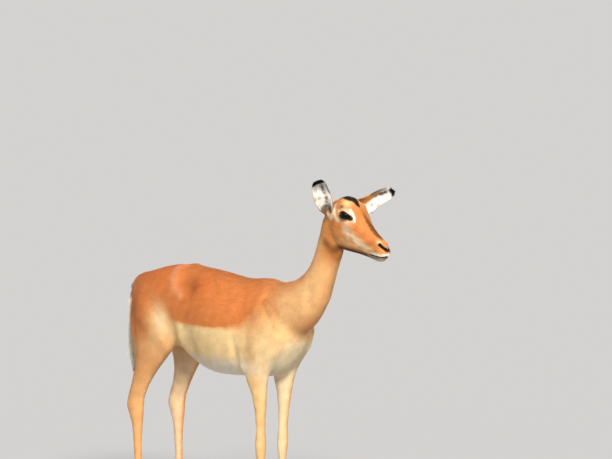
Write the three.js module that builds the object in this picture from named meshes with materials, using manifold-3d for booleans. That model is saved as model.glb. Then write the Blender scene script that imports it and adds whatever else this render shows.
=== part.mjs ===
// A standing impala ewe at life size, in millimetres.
// +X runs toward the head, +Y to the animal's left and +Z up; the floor is z = 0.
// The body is lofted whole from named sections, then parted by thin cuts into
// head, neck, trunk, tail, legs and ears. Eyes and hoof claws are bodies of their own.

import * as THREE from 'three';
import { mergeVertices } from 'three/addons/utils/BufferGeometryUtils.js';
import Module from 'manifold-3d';

const wasm = await Module();
wasm.setup();

// ---------------------------------------------------------------- driving sizes

const CUT = 0.3;           // gap left by every parting cut
const FAR = 2000;          // size of a cutting block
const FLOOR_MARGIN = 10;   // how far a leg's cutting block reaches under the floor
const MERGE = 1e-4;        // points closer than this are one
const SIDE = { left: 1, right: -1 };
const SIDES = { trunk: 28, neck: 22, head: 26, leg: 16, tail: 12 };   // points in a ring
const LEG_SHAPE = 2.15;    // how square a leg's rings are; 2 is an ellipse

const CROWN = { x: 335, z: 1053 };     // top of the head between the ears
const POLL_X = 290;                    // the head turns about the upright line here,
const HEAD_TURN = 4 * Math.PI / 180;   // toward the animal's left
const BROW = { ahead: 28, below: 43, length: 17, height: 12, swell: 0.09 };
const EYE = {
  ahead: 16.5, side: 36.3, below: 60, radius: 18, clearance: 0.48, meridians: 14, bands: 10,
};

// An ear is a cupped leaf: `widestAt` is a share of its length, and the folds are half
// angles in radians, nearly a closed tube at the root and almost open at the tip.
const EAR = {
  length: 143, width: 51, wall: 6, wallTaper: 0.25, stub: 21, buried: 14, bow: 26, setBack: 3,
  widestAt: 0.47, rootShare: 0.30, rootDepth: 0.5, deepTo: 0.5, pointing: 2.3, tipHalf: 0.7,
  cupDepth: 0.55, innerShare: 0.93,
  foldRoot: 2.57, foldTip: 0.62, foldFrom: -0.1, foldTo: 0.75, unfolding: 1.3,
  rows: 15, columns: 9, sagFrom: 0.7, hunchFrom: 0.12, hunchTo: 0.6, clearance: 0.36,
};
// The root measured from the crown, the aims of the tip and the opening, how far the middle
// sags, and how far the back of the root bulges up.
const EAR_SET = {
  right: {
    ahead: -48, side: -39, below: 50, tip: [0.351, -0.675, 0.65], open: [0.64, -0.3, -0.7],
    sag: -4, hunch: 0,
  },
  left: {
    ahead: -27, side: 40, below: 51, tip: [0.65, 0.67, 0.365], open: [0.7, -0.6, -0.3],
    sag: 8, hunch: 20,
  },
};

const HOOF = {
  length: 60, width: 20.5, split: 3.2, middleHeight: 31, rise: 0.28, lean: 0.45, taper: 0.13,
  levels: [0, 0.36, 0.72, 1], steps: 9, crowding: 0.92, fullness: 0.62, clearance: 0.36,
};

// Planes that part the body, in this order. Each node lies `ahead` of its point.
const PLANE_CUTS = {
  head: { point: [322, 0, 876], ahead: [0.58, 0, 0.815] },
  neck: { point: [158, 0, 628], ahead: [0.86, 0, 0.51] },
  tail: { point: [-561, 0, 700], ahead: [-1, 0, 0] },
};

const LOOKS = {
  head: { colour: 0xb9703a, roughness: 0.85 },
  neck: { colour: 0xc07c46, roughness: 0.85 },
  trunk: { colour: 0xb5622c, roughness: 0.85 },
  tail: { colour: 0xd8c3a5, roughness: 0.85 },
  ear: { colour: 0xcfc0ad, roughness: 0.85 },
  leg: { colour: 0xbd8350, roughness: 0.85 },
  hoof: { colour: 0x2a2320, roughness: 0.45 },
  eye: { colour: 0x120c08, roughness: 0.08 },
};

// Each row is one cross-section. Trunk and head rows stand across X:
// `at` is X, then the heights of the top, the widest level and the bottom, the half
// width, and how square (above 2) or pinched (below 2) the upper and lower halves are.
const TRUNK = [
  { at: -557, top: 731, mid: 704, low: 676, half: 15, upper: 2, lower: 2 },
  { at: -547, top: 747, mid: 696, low: 636, half: 33, upper: 2, lower: 2 },
  { at: -524, top: 756, mid: 682, low: 604, half: 58, upper: 2, lower: 2 },
  { at: -490, top: 763, mid: 674, low: 580, half: 84, upper: 2.1, lower: 2 },
  { at: -450, top: 774, mid: 678, low: 564, half: 97, upper: 2.2, lower: 2 },
  { at: -409, top: 785, mid: 690, low: 555, half: 102, upper: 2.2, lower: 2 },
  { at: -367, top: 792, mid: 700, low: 546, half: 104, upper: 2.15, lower: 2 },
  { at: -325, top: 793.5, mid: 700, low: 530, half: 102, upper: 2.05, lower: 2 },
  { at: -284, top: 793, mid: 680, low: 505, half: 99, upper: 2, lower: 2.05 },
  { at: -242, top: 790, mid: 652, low: 484, half: 102, upper: 1.95, lower: 2.15 },
  { at: -200, top: 786.5, mid: 632, low: 474, half: 109, upper: 1.9, lower: 2.2 },
  { at: -159, top: 781, mid: 622, low: 472, half: 114, upper: 1.9, lower: 2.2 },
  { at: -117, top: 775.5, mid: 618, low: 473, half: 115, upper: 1.85, lower: 2.2 },
  { at: -75, top: 772, mid: 617, low: 475, half: 111, upper: 1.8, lower: 2.15 },
  { at: -30, top: 776, mid: 616, low: 477, half: 104, upper: 1.75, lower: 2.1 },
  { at: 15, top: 780, mid: 616, low: 479, half: 97, upper: 1.7, lower: 2 },
  { at: 54, top: 773, mid: 616, low: 493, half: 89, upper: 1.75, lower: 1.9 },
  { at: 86, top: 752, mid: 618, low: 515, half: 79, upper: 1.9, lower: 1.9 },
  { at: 114, top: 716, mid: 622, low: 552, half: 62, upper: 2, lower: 1.9 },
  { at: 133, top: 682, mid: 628, low: 588, half: 41, upper: 2, lower: 2 },
  { at: 142, top: 658, mid: 632, low: 608, half: 21, upper: 2, lower: 2 },
];

// Head rows are measured from the crown: `at` ahead of it, heights below it.
const HEAD = [
  { at: -62, top: -58, mid: -84, low: -122, half: 22, upper: 2, lower: 2 },
  { at: -54, top: -38, mid: -76, low: -146, half: 33, upper: 2, lower: 2.1 },
  { at: -41, top: -20, mid: -62, low: -158, half: 39, upper: 2, lower: 2.2 },
  { at: -25, top: -10, mid: -57, low: -165.5, half: 42.5, upper: 2.05, lower: 2.1 },
  { at: -7, top: -6, mid: -56, low: -169.5, half: 44, upper: 2.1, lower: 2 },
  { at: 10, top: -10, mid: -58, low: -172, half: 46, upper: 2.1, lower: 1.95 },
  { at: 25, top: -21, mid: -61, low: -174, half: 47.5, upper: 2.1, lower: 1.9 },
  { at: 39, top: -36, mid: -68, low: -176, half: 45, upper: 2.05, lower: 1.85 },
  { at: 53, top: -53, mid: -83, low: -178.5, half: 37.5, upper: 1.9, lower: 1.9 },
  { at: 69, top: -74, mid: -105, low: -182, half: 31, upper: 1.75, lower: 1.95 },
  { at: 87, top: -92, mid: -126, low: -186.5, half: 26.5, upper: 1.75, lower: 2 },
  { at: 103, top: -107, mid: -141, low: -191.5, half: 24, upper: 1.8, lower: 2 },
  { at: 116, top: -118, mid: -149, low: -194, half: 23.5, upper: 1.9, lower: 2.05 },
  { at: 128, top: -128, mid: -155, low: -191.5, half: 23, upper: 2.1, lower: 2.1 },
  { at: 137.5, top: -137.5, mid: -159.5, low: -184.5, half: 20.5, upper: 2.2, lower: 2.1 },
  { at: 144.5, top: -148, mid: -163, low: -177.5, half: 15.5, upper: 2.1, lower: 2 },
  { at: 148, top: -157, mid: -164.5, low: -170, half: 8, upper: 2, lower: 2 },
];

// Neck rows join a point of the nape to one of the throat, each [x, z].
const NECK = [
  { nape: [-30, 740], throat: [66, 566], half: 62 },
  { nape: [30, 766], throat: [108, 590], half: 73 },
  { nape: [80, 772], throat: [146, 615], half: 70 },
  { nape: [118, 781], throat: [186, 648], half: 62 },
  { nape: [147, 795], throat: [219, 684], half: 54.5 },
  { nape: [172, 814], throat: [243, 724], half: 48 },
  { nape: [191, 837], throat: [260, 770], half: 42.5 },
  { nape: [205, 867], throat: [278, 815], half: 38 },
  { nape: [215, 901], throat: [295, 853], half: 34.5 },
  { nape: [227, 939], throat: [309, 885], half: 33 },
  { nape: [239, 976], throat: [318, 918], half: 33.5 },
  { nape: [260, 1010], throat: [330, 958], half: 34 },
  { nape: [286, 1034], throat: [336, 992], half: 26 },
];

// Leg rows are level: height `z`, the front and rear edges in X, the distance of the
// centre from the middle of the animal, and the half width.
const FORELEG = [
  { name: 'top of blade', z: 732, front: 66, rear: 10, side: 30, half: 22 },
  { name: 'blade', z: 694, front: 98, rear: -14, side: 48, half: 37 },
  { name: 'shoulder', z: 652, front: 120, rear: -34, side: 56, half: 41 },
  { name: 'point of shoulder', z: 612, front: 126, rear: -44, side: 60, half: 38 },
  { name: 'upper arm', z: 572, front: 116, rear: -50, side: 62, half: 35 },
  { name: 'above elbow', z: 534, front: 87, rear: -48, side: 63, half: 31 },
  { name: 'elbow', z: 500, front: 64, rear: -39, side: 63, half: 27 },
  { name: 'below elbow', z: 468, front: 53, rear: -24, side: 62.5, half: 23.5 },
  { name: 'forearm', z: 430, front: 48, rear: -5, side: 62, half: 20 },
  { name: 'low forearm', z: 380, front: 43, rear: 6, side: 61, half: 16.5 },
  { name: 'above knee', z: 322, front: 39, rear: 9.5, side: 60, half: 14 },
  { name: 'top of knee', z: 298, front: 40.5, rear: 7, side: 60, half: 15.8 },
  { name: 'knee', z: 275, front: 41, rear: 5, side: 59.5, half: 16.2 },
  { name: 'below knee', z: 252, front: 38.5, rear: 6, side: 59, half: 14.8 },
  { name: 'top of cannon', z: 228, front: 34.5, rear: 9, side: 59, half: 12 },
  { name: 'cannon', z: 180, front: 33, rear: 9.5, side: 58.5, half: 10.8 },
  { name: 'low cannon', z: 130, front: 33, rear: 9, side: 58, half: 11 },
  { name: 'fetlock', z: 98, front: 38, rear: 3, side: 58, half: 15.2 },
  { name: 'pastern', z: 72, front: 42, rear: 12, side: 58, half: 13.8 },
  { name: 'low pastern', z: 54, front: 48, rear: 13, side: 58, half: 16 },
  { name: 'coronet', z: 30, front: 57, rear: 9, side: 58, half: 19.5 },
  { name: 'inside hooves', z: 12, front: 57, rear: 9, side: 58, half: 19.5 },
];
const HINDLEG = [
  { name: 'hip', z: 738, front: -396, rear: -484, side: 38, half: 32 },
  { name: 'rump', z: 700, front: -352, rear: -508, side: 52, half: 47 },
  { name: 'high thigh', z: 660, front: -324, rear: -517, side: 58, half: 49 },
  { name: 'thigh', z: 620, front: -307, rear: -519, side: 61, half: 47 },
  { name: 'stifle', z: 582, front: -317, rear: -512, side: 64, half: 43 },
  { name: 'below stifle', z: 541, front: -337, rear: -501, side: 66, half: 37 },
  { name: 'top of gaskin', z: 498, front: -378, rear: -494, side: 67, half: 29 },
  { name: 'gaskin', z: 458, front: -414, rear: -501, side: 68, half: 22.5 },
  { name: 'low gaskin', z: 415, front: -445, rear: -515, side: 68, half: 17.5 },
  { name: 'above hock', z: 380, front: -462, rear: -529, side: 67.5, half: 15.5 },
  { name: 'hock', z: 352, front: -468, rear: -534, side: 67, half: 17.5 },
  { name: 'low hock', z: 326, front: -470, rear: -522, side: 66.5, half: 17.5 },
  { name: 'below hock', z: 298, front: -474, rear: -512, side: 66, half: 15 },
  { name: 'top of cannon', z: 262, front: -476, rear: -508, side: 66, half: 12 },
  { name: 'cannon', z: 200, front: -477, rear: -504, side: 66, half: 11.2 },
  { name: 'low cannon', z: 136, front: -474, rear: -500, side: 66, half: 11.4 },
  { name: 'fetlock', z: 100, front: -466, rear: -502, side: 66, half: 15.2 },
  { name: 'pastern', z: 74, front: -459, rear: -491, side: 66, half: 13.8 },
  { name: 'low pastern', z: 55, front: -451, rear: -487, side: 66, half: 15.8 },
  { name: 'coronet', z: 30, front: -441, rear: -487, side: 66, half: 19 },
  { name: 'inside hooves', z: 12, front: -441, rear: -487, side: 66, half: 19 },
];

// Tail rows follow its hanging midline: centre [x, z], half width across and half thickness.
const TAIL = [
  { centre: [-528, 738], half: 15, thick: 11 },
  { centre: [-552, 733], half: 14, thick: 10.5 },
  { centre: [-568, 716], half: 13.5, thick: 10 },
  { centre: [-575, 684], half: 14, thick: 9.5 },
  { centre: [-577, 640], half: 16, thick: 10 },
  { centre: [-577, 590], half: 19.5, thick: 11 },
  { centre: [-576, 542], half: 22.5, thick: 11.5 },
  { centre: [-574, 502], half: 19, thick: 10.5 },
  { centre: [-572, 472], half: 12, thick: 7.5 },
  { centre: [-571, 454], half: 5, thick: 4 },
];

// How each pair of legs stands. Below `bend` a leg is moved ahead by its side's shift, so
// the feet are a little staggered. `cut` parts it from the trunk: `inner` and `outer` are
// distances from the middle of the animal, `top` the height at the rear edge.
const LEGS = {
  front: {
    rows: FORELEG, shift: { left: -20, right: 4 }, bend: { low: 330, high: 590 },
    cut: { inner: 30, outer: 160, top: 508, rear: -54, front: 150, slope: 0 },
  },
  hind: {
    rows: HINDLEG, shift: { left: 44, right: 0 }, bend: { low: 400, high: 640 },
    cut: { inner: 16, outer: 160, top: 655, rear: -620, front: -302, slope: -0.12 },
  },
};

// ---------------------------------------------------------------- loft helpers

const power = (value, shape) => Math.sign(value) * Math.abs(value) ** (2 / shape);

const smooth = (low, high, value) => {
  const t = Math.min(Math.max((value - low) / (high - low), 0), 1);
  return t * t * (3 - 2 * t);
};

// Closed body through rings of equal, even count. Each end is closed by a strip that
// joins point k to point n - 1 - k, which also suits a ring folded like a C.
function skinOf(rings) {
  const sides = rings[0].length;
  const faces = [];
  for (let k = 0; k < sides; k++) {
    const next = (k + 1) % sides;
    for (let r = 0; r < rings.length - 1; r++) {
      const a = r * sides + k;
      const b = r * sides + next;
      faces.push(a, b, b + sides, a, b + sides, a + sides);
    }
  }
  const end = (rings.length - 1) * sides;
  for (let k = 0; k < sides / 2 - 1; k++) {
    const [a, b, c, d] = [k, k + 1, sides - 2 - k, sides - 1 - k];
    faces.push(a, c, b, a, d, c);
    faces.push(end + a, end + b, end + c, end + a, end + c, end + d);
  }
  const geometry = new THREE.BufferGeometry();
  geometry.setAttribute('position', new THREE.Float32BufferAttribute(
    rings.flat().flatMap((p) => [p.x, p.y, p.z]), 3));
  geometry.setIndex(faces);
  return geometry;
}

// The same body with its faces turned to point out, whichever way its rings ran.
function facingOut(geometry) {
  const p = geometry.attributes.position;
  const index = geometry.index;
  const [a, b, c] = [new THREE.Vector3(), new THREE.Vector3(), new THREE.Vector3()];
  let volume = 0;
  for (let i = 0; i < index.count; i += 3) {
    a.fromBufferAttribute(p, index.getX(i));
    b.fromBufferAttribute(p, index.getX(i + 1));
    c.fromBufferAttribute(p, index.getX(i + 2));
    volume += a.dot(b.cross(c));
  }
  if (volume < 0) {
    const turned = Array.from(index.array);
    for (let i = 0; i < turned.length; i += 3) {
      [turned[i + 1], turned[i + 2]] = [turned[i + 2], turned[i + 1]];
    }
    geometry.setIndex(turned);
  }
  return geometry;
}

// Even steps round a ring, offset by half a step so that no point falls on the midline.
const around = (sides) => Array.from({ length: sides }, (_, k) => 2 * Math.PI * (k + 0.5) / sides);

// A ring standing across X, from a trunk or head row.
function standingRing(row, sides) {
  return around(sides).map((angle) => {
    const up = Math.sin(angle) > 0;
    const shape = up ? row.upper : row.lower;
    const rise = up ? row.top - row.mid : row.mid - row.low;
    return new THREE.Vector3(row.at,
      row.half * power(Math.cos(angle), shape),
      row.mid + rise * power(Math.sin(angle), shape));
  });
}

// A ring through a nape point and a throat point.
function neckRing(row, sides) {
  const nape = new THREE.Vector3(row.nape[0], 0, row.nape[1]);
  const throat = new THREE.Vector3(row.throat[0], 0, row.throat[1]);
  const centre = nape.clone().lerp(throat, 0.5);
  const depth = throat.clone().sub(nape).multiplyScalar(0.5);
  return around(sides).map((angle) => centre.clone()
    .addScaledVector(depth, Math.cos(angle))
    .add(new THREE.Vector3(0, row.half * Math.sin(angle), 0)));
}

// A level ring of a leg on one side (+1 left, -1 right), moved ahead by `shift`.
function legRing(row, sides, side, shift) {
  const centre = (row.front + row.rear) / 2 + shift;
  const reach = (row.front - row.rear) / 2;
  return around(sides).map((angle) => new THREE.Vector3(
    centre + reach * power(Math.cos(angle), LEG_SHAPE),
    side * row.side + row.half * power(Math.sin(angle), LEG_SHAPE), row.z));
}

// ---------------------------------------------------------------- solids and cuts

function solidOf(geometry) {
  const plain = geometry.clone();
  plain.deleteAttribute('normal');
  plain.deleteAttribute('uv');
  const merged = facingOut(mergeVertices(plain, MERGE));
  return new wasm.Manifold(new wasm.Mesh({
    numProp: 3,
    vertProperties: Float32Array.from(merged.attributes.position.array),
    triVerts: Uint32Array.from(merged.index.array),
  }));
}

function geometryOf(solid) {
  const mesh = solid.getMesh();
  const geometry = new THREE.BufferGeometry();
  geometry.setAttribute('position', new THREE.Float32BufferAttribute(
    Float32Array.from(mesh.vertProperties), 3));
  geometry.setIndex(Array.from(mesh.triVerts));
  return geometry;
}

// The half space beyond a plane through `point`, as a large block along `direction`.
function beyond(point, direction) {
  const block = new THREE.BoxGeometry(FAR, FAR, FAR);
  block.translate(0, 0, FAR / 2);
  block.applyQuaternion(new THREE.Quaternion().setFromUnitVectors(
    new THREE.Vector3(0, 0, 1), direction));
  block.translate(point.x, point.y, point.z);
  return solidOf(block);
}

// Splits a solid at a plane: what lies beyond it, and the rest less the gap.
function partAt(solid, point, direction) {
  const ahead = direction.clone().normalize();
  const back = point.clone().addScaledVector(ahead, -CUT);
  return [solid.intersect(beyond(point, ahead)), solid.subtract(beyond(back, ahead))];
}

// ---------------------------------------------------------------- the forms

const trunkForm = () => solidOf(skinOf(TRUNK.map((row) => standingRing(row, SIDES.trunk))));
const neckForm = () => solidOf(skinOf(NECK.map((row) => neckRing(row, SIDES.neck))));

// A point given ahead of, to the side of and below the crown, in the turned head.
function headPoint(ahead, side, below) {
  const point = new THREE.Vector3(CROWN.x + ahead - POLL_X, side, CROWN.z - below);
  point.applyAxisAngle(new THREE.Vector3(0, 0, 1), HEAD_TURN);
  return point.add(new THREE.Vector3(POLL_X, 0, 0));
}

// The head, or with `grow` the same form a little larger all round.
function headForm(grow = 0) {
  const rings = HEAD.map((row) => {
    const grown = { ...row, top: row.top + grow, low: row.low - grow, half: row.half + grow };
    return standingRing(grown, SIDES.head).map((p) => {
      const fromBrow = ((p.x - BROW.ahead) / BROW.length) ** 2
        + ((p.z + BROW.below) / BROW.height) ** 2;
      return headPoint(p.x, p.y * (1 + BROW.swell * Math.exp(-fromBrow)), -p.z);
    });
  });
  return solidOf(skinOf(rings));
}

// A leg. Below the joint that `bend` names, it stands ahead of its row by the side's shift.
function legForm(leg, sideName) {
  const rings = leg.rows.map((row) => {
    const share = 1 - smooth(leg.bend.low, leg.bend.high, row.z);
    return legRing(row, SIDES.leg, SIDE[sideName], leg.shift[sideName] * share);
  });
  return solidOf(skinOf(rings));
}

function tailForm() {
  const across = new THREE.Vector3(0, 1, 0);
  const rings = TAIL.map((row, i) => {
    const before = TAIL[Math.max(i - 1, 0)].centre;
    const after = TAIL[Math.min(i + 1, TAIL.length - 1)].centre;
    const along = new THREE.Vector3(after[0] - before[0], 0, after[1] - before[1]).normalize();
    const out = new THREE.Vector3().crossVectors(along, across);
    return around(SIDES.tail).map((angle) => new THREE.Vector3(row.centre[0], 0, row.centre[1])
      .addScaledVector(across, row.half * Math.cos(angle))
      .addScaledVector(out, row.thick * Math.sin(angle)));
  });
  return solidOf(skinOf(rings));
}

// An ear: a leaf, cupped across, with a thin wall and a root that closes to a tube.
function earForm(sideName) {
  const set = EAR_SET[sideName];
  const along = new THREE.Vector3(...set.tip).normalize();
  const open = new THREE.Vector3(...set.open);
  open.addScaledVector(along, -open.dot(along)).normalize();
  const across = new THREE.Vector3().crossVectors(along, open);
  const root = headPoint(set.ahead, set.side, set.below);
  const rings = Array.from({ length: EAR.rows }, (_, i) => {
    const t = i / (EAR.rows - 1);
    const past = Math.max((t - EAR.widestAt) / (1 - EAR.widestAt), 0);
    const swell = EAR.rootShare + (1 - EAR.rootShare) * smooth(0, EAR.widestAt, t);
    const half = EAR.width / 2 * swell * Math.sqrt(Math.max(1 - past ** EAR.pointing, 0)) + EAR.tipHalf;
    const folded = (1 - smooth(EAR.foldFrom, EAR.foldTo, t)) ** EAR.unfolding;
    const fold = EAR.foldTip + (EAR.foldRoot - EAR.foldTip) * folded;
    const radius = half / Math.sin(Math.min(fold, Math.PI / 2));
    const wall = EAR.wall * (1 - EAR.wallTaper * t);
    const deep = 1 + EAR.rootDepth * (1 - smooth(0, EAR.deepTo, t));
    const centre = root.clone()
      .addScaledVector(along, -EAR.buried + (EAR.length + EAR.buried) * t)
      .addScaledVector(open, EAR.bow * t * (1 - t) - EAR.setBack + half * EAR.cupDepth)
      .addScaledVector(across, set.sag * Math.sin(Math.PI * t ** EAR.sagFrom));
    const hunch = set.hunch * (1 - smooth(EAR.hunchFrom, EAR.hunchTo, t));
    const at = (share, r) => centre.clone()
      .addScaledVector(across, r * Math.sin(fold * share) - hunch * Math.max(-Math.sin(fold * share), 0))
      .addScaledVector(open, -r * deep * Math.cos(fold * share));
    const shares = Array.from({ length: EAR.columns }, (__, k) => 2 * k / (EAR.columns - 1) - 1);
    const back = shares.map((share) => at(share, radius + wall / 2));
    const hollow = Math.max(radius - wall / 2, EAR.tipHalf);
    const inside = shares.map((share) => at(share * EAR.innerShare, hollow));
    return [...back, ...inside.reverse()];
  });
  return { solid: solidOf(skinOf(rings)), root, along };
}

// One claw of a hoof: flat sole, straight inner wall by the split, curved outer wall
// that draws in upward. The whole claw leans back, and its top slopes down to the heel.
function clawForm(foot, inward) {
  const rings = HOOF.levels.map((level) => {
    const size = 1 - HOOF.taper * level;
    return Array.from({ length: HOOF.steps + 1 }, (_, k) => {
      const turn = Math.PI * (k / HOOF.steps) ** HOOF.crowding;   // from the heel round to the toe
      const ahead = -Math.cos(turn) * HOOF.length / 2 * size;
      const wide = Math.max(Math.sin(turn), 0) ** HOOF.fullness * HOOF.width * size;
      const height = level * (HOOF.middleHeight + HOOF.rise * ahead);
      return new THREE.Vector3(foot.x + ahead - HOOF.lean * height,
        foot.y - inward * (HOOF.split / 2 + wide), height);
    });
  });
  return facingOut(mergeVertices(skinOf(rings), MERGE));
}

// A block round a leg, under a sloping top and clear of the middle of the belly.
function legBlock(cut, side, gap = 0) {
  const [rear, front, floor] = [cut.rear - gap, cut.front + gap, -FLOOR_MARGIN];
  const top = cut.top + gap / Math.cos(Math.atan(cut.slope));
  const outline = new THREE.Shape([
    new THREE.Vector2(rear, floor), new THREE.Vector2(front, floor),
    new THREE.Vector2(front, top + cut.slope * (front - rear)), new THREE.Vector2(rear, top),
  ]);
  const depth = cut.outer - cut.inner + 2 * gap;
  const block = new THREE.ExtrudeGeometry(outline, { depth, bevelEnabled: false });
  block.rotateX(Math.PI / 2);
  block.translate(0, side > 0 ? cut.outer + gap : -cut.inner + gap, 0);
  return solidOf(block);
}

// ---------------------------------------------------------------- the body, parted

const nodes = {};
const ears = { left: earForm('left'), right: earForm('right') };
let body = trunkForm().add(neckForm()).add(headForm()).add(tailForm());
for (const leg of Object.values(LEGS)) {
  for (const sideName of Object.keys(SIDE)) body = body.add(legForm(leg, sideName));
}

// each ear is parted across its root, and the stub below stays with the head
const headRoom = headForm(EAR.clearance);
for (const [sideName, ear] of Object.entries(ears)) {
  const point = ear.root.clone().addScaledVector(ear.along, EAR.stub);
  const [blade, stub] = partAt(ear.solid, point, ear.along);
  nodes[`ear_${sideName}`] = blade.subtract(headRoom);
  body = body.add(stub);
}

for (const [name, plane] of Object.entries(PLANE_CUTS)) {
  const point = new THREE.Vector3(...plane.point);
  [nodes[name], body] = partAt(body, point, new THREE.Vector3(...plane.ahead));
}

for (const [end, leg] of Object.entries(LEGS)) {
  for (const [sideName, side] of Object.entries(SIDE)) {
    nodes[`leg_${end}_${sideName}`] = body.intersect(legBlock(leg.cut, side));
    body = body.subtract(legBlock(leg.cut, side, CUT));
  }
}
nodes.trunk = body;

// ---------------------------------------------------------------- hooves and eyes

const loose = {};
const setBack = HOOF.lean * HOOF.middleHeight;            // the tops lie behind the soles by this
const topSlope = HOOF.rise / (1 - HOOF.lean * HOOF.rise);   // rise of the claw's top toward the toe
for (const [end, leg] of Object.entries(LEGS)) {
  const coronet = leg.rows.find((row) => row.name === 'coronet');
  for (const [sideName, side] of Object.entries(SIDE)) {
    const foot = {
      x: (coronet.front + coronet.rear) / 2 + setBack + leg.shift[sideName],
      y: side * coronet.side,
    };
    // the leg stops just above the sloping tops of its claws
    const point = new THREE.Vector3(foot.x - setBack, foot.y, HOOF.middleHeight + HOOF.clearance);
    const under = beyond(point, new THREE.Vector3(topSlope, 0, -1).normalize());
    const key = `leg_${end}_${sideName}`;
    nodes[key] = nodes[key].subtract(under);
    for (const [clawName, inward] of [['inner', side], ['outer', -side]]) {
      loose[`hoof_${end}_${sideName}_${clawName}`] = clawForm(foot, inward);
    }
  }
}

function eyeForm(side, radius) {
  const centre = headPoint(EYE.ahead, side * EYE.side, EYE.below);
  const ball = new THREE.SphereGeometry(radius, EYE.meridians, EYE.bands);
  ball.rotateX(Math.PI / 2);
  ball.translate(centre.x, centre.y, centre.z);
  return solidOf(ball);
}
for (const [sideName, side] of Object.entries(SIDE)) {
  loose[`eye_${sideName}`] = geometryOf(eyeForm(side, EYE.radius));
  nodes.head = nodes.head.subtract(eyeForm(side, EYE.radius + EYE.clearance));
}

// ---------------------------------------------------------------- the finished group

function finish(name) {
  const look = LOOKS[name.split('_')[0]];
  return new THREE.MeshStandardMaterial({ color: look.colour, roughness: look.roughness, metalness: 0 });
}

const shapes = { ...loose };
for (const [name, solid] of Object.entries(nodes)) shapes[name] = geometryOf(solid);

// The origin is on the floor, under the middle of the whole animal.
const box = new THREE.Box3();
for (const geometry of Object.values(shapes)) {
  geometry.computeBoundingBox();
  box.union(geometry.boundingBox);
}
const middle = box.getCenter(new THREE.Vector3());

const impala = new THREE.Group();
for (const [name, geometry] of Object.entries(shapes)) {
  const mesh = new THREE.Mesh(geometry, finish(name));
  mesh.name = name;
  mesh.position.set(-middle.x, -middle.y, -box.min.z);
  impala.add(mesh);
}

export default impala;
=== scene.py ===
"""The looks of a life-size impala ewe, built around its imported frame.

Metres, +X toward the head, +Y to the animal's left, +Z up, floor at z = 0. Places and
sizes of forms, markings and tufts are in millimetres, except where a comment says metres.
One skin replaces the nodes of flesh, a coat of short tufts lies over it, and
finer eyes and hooves replace theirs.
"""

import math

import bmesh
import bpy
import numpy as np
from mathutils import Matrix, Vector
from mathutils.bvhtree import BVHTree


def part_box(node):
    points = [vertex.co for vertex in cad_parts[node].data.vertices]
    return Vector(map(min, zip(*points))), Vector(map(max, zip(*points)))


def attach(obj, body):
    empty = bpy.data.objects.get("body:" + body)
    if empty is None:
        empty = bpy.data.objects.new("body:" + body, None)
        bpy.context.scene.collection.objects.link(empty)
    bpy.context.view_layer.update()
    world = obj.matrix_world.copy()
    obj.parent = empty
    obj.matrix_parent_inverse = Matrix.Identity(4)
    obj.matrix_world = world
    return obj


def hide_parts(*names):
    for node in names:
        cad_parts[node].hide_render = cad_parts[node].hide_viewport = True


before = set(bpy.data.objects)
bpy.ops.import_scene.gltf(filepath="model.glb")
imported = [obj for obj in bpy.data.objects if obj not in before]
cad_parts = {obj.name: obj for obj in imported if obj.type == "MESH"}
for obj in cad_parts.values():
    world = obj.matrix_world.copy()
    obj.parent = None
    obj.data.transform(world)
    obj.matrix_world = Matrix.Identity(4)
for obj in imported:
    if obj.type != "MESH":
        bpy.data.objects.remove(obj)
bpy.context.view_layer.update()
SIDES = {"left": 1, "right": -1}
RANDOM = np.random.default_rng(7)
MM = 1000                                      # millimetres in a metre
FAR = 9000.0                                   # millimetres, longer than the animal

# ------------------------------------------------------------ places, from the frame


def middle(node):
    low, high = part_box(node)
    return np.array((low + high) / 2)


def unit(vectors):
    """Vectors of length one; a row of zeros stays zero."""
    vectors = np.asarray(vectors, float)
    return vectors / np.maximum(np.linalg.norm(vectors, axis=-1, keepdims=True), 1e-12)


# The head's own axes: between the eyes, which lie level with each other.
EYE_AHEAD, EYE_BELOW = 16.5, 60               # of the crown
EYE_RADIUS = float(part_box("eye_left")[1].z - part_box("eye_left")[0].z) / 2 * MM
HEAD_LEFT = unit(middle("eye_left") - middle("eye_right"))
HEAD_AHEAD = np.cross(HEAD_LEFT, (0, 0, 1))
HEAD_AXES = np.array([HEAD_AHEAD, HEAD_LEFT, (0, 0, 1)])
CROWN = (middle("eye_left") + middle("eye_right")) / 2 - (EYE_AHEAD * HEAD_AHEAD - (0, 0, EYE_BELOW)) / MM
CROWN_AHEAD = 335                             # of the withers
WITHERS = np.array([CROWN[0] - CROWN_AHEAD / MM, middle("trunk")[1], 0])


def in_head(points):
    """Millimetres ahead, left and up from the crown, in the head's axes."""
    return (np.asarray(points) - CROWN) @ HEAD_AXES.T * MM


def in_body(points):
    """Millimetres ahead of the withers, left of the middle, and over the floor."""
    return (np.asarray(points) - WITHERS) * MM


def rise(low, high, values):
    """0 below low, 1 above high, and smooth between."""
    t = np.clip((np.asarray(values) - low) / (high - low), 0, 1)
    return t * t * (3 - 2 * t)


def fall(low, high, values):
    """1 below low, 0 above high, and smooth between."""
    return 1 - rise(low, high, values)


def bell(distance, width):
    """1 at no distance, falling smoothly away."""
    return np.exp(-(distance / width) ** 2)


def blend(values, goal, share):
    """Takes the values, in place, this share of the way to a goal."""
    values += (share[:, None] if values.ndim == 2 else share) * (np.asarray(goal) - values)


def hill(points, centre, size):
    """1 at the centre, falling smoothly away; the size is a radius for each axis."""
    return np.exp(-(((points - np.asarray(centre)) / np.asarray(size)) ** 2).sum(-1))


# ------------------------------------------------------------ meshes as arrays


def triangles_of(mesh):
    points = np.empty(len(mesh.vertices) * 3)
    mesh.vertices.foreach_get("co", points)
    mesh.calc_loop_triangles()
    corners = np.empty(len(mesh.loop_triangles) * 3, np.int32)
    mesh.loop_triangles.foreach_get("vertices", corners)
    return points.reshape(-1, 3), corners.reshape(-1, 3).astype(np.int64)


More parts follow.
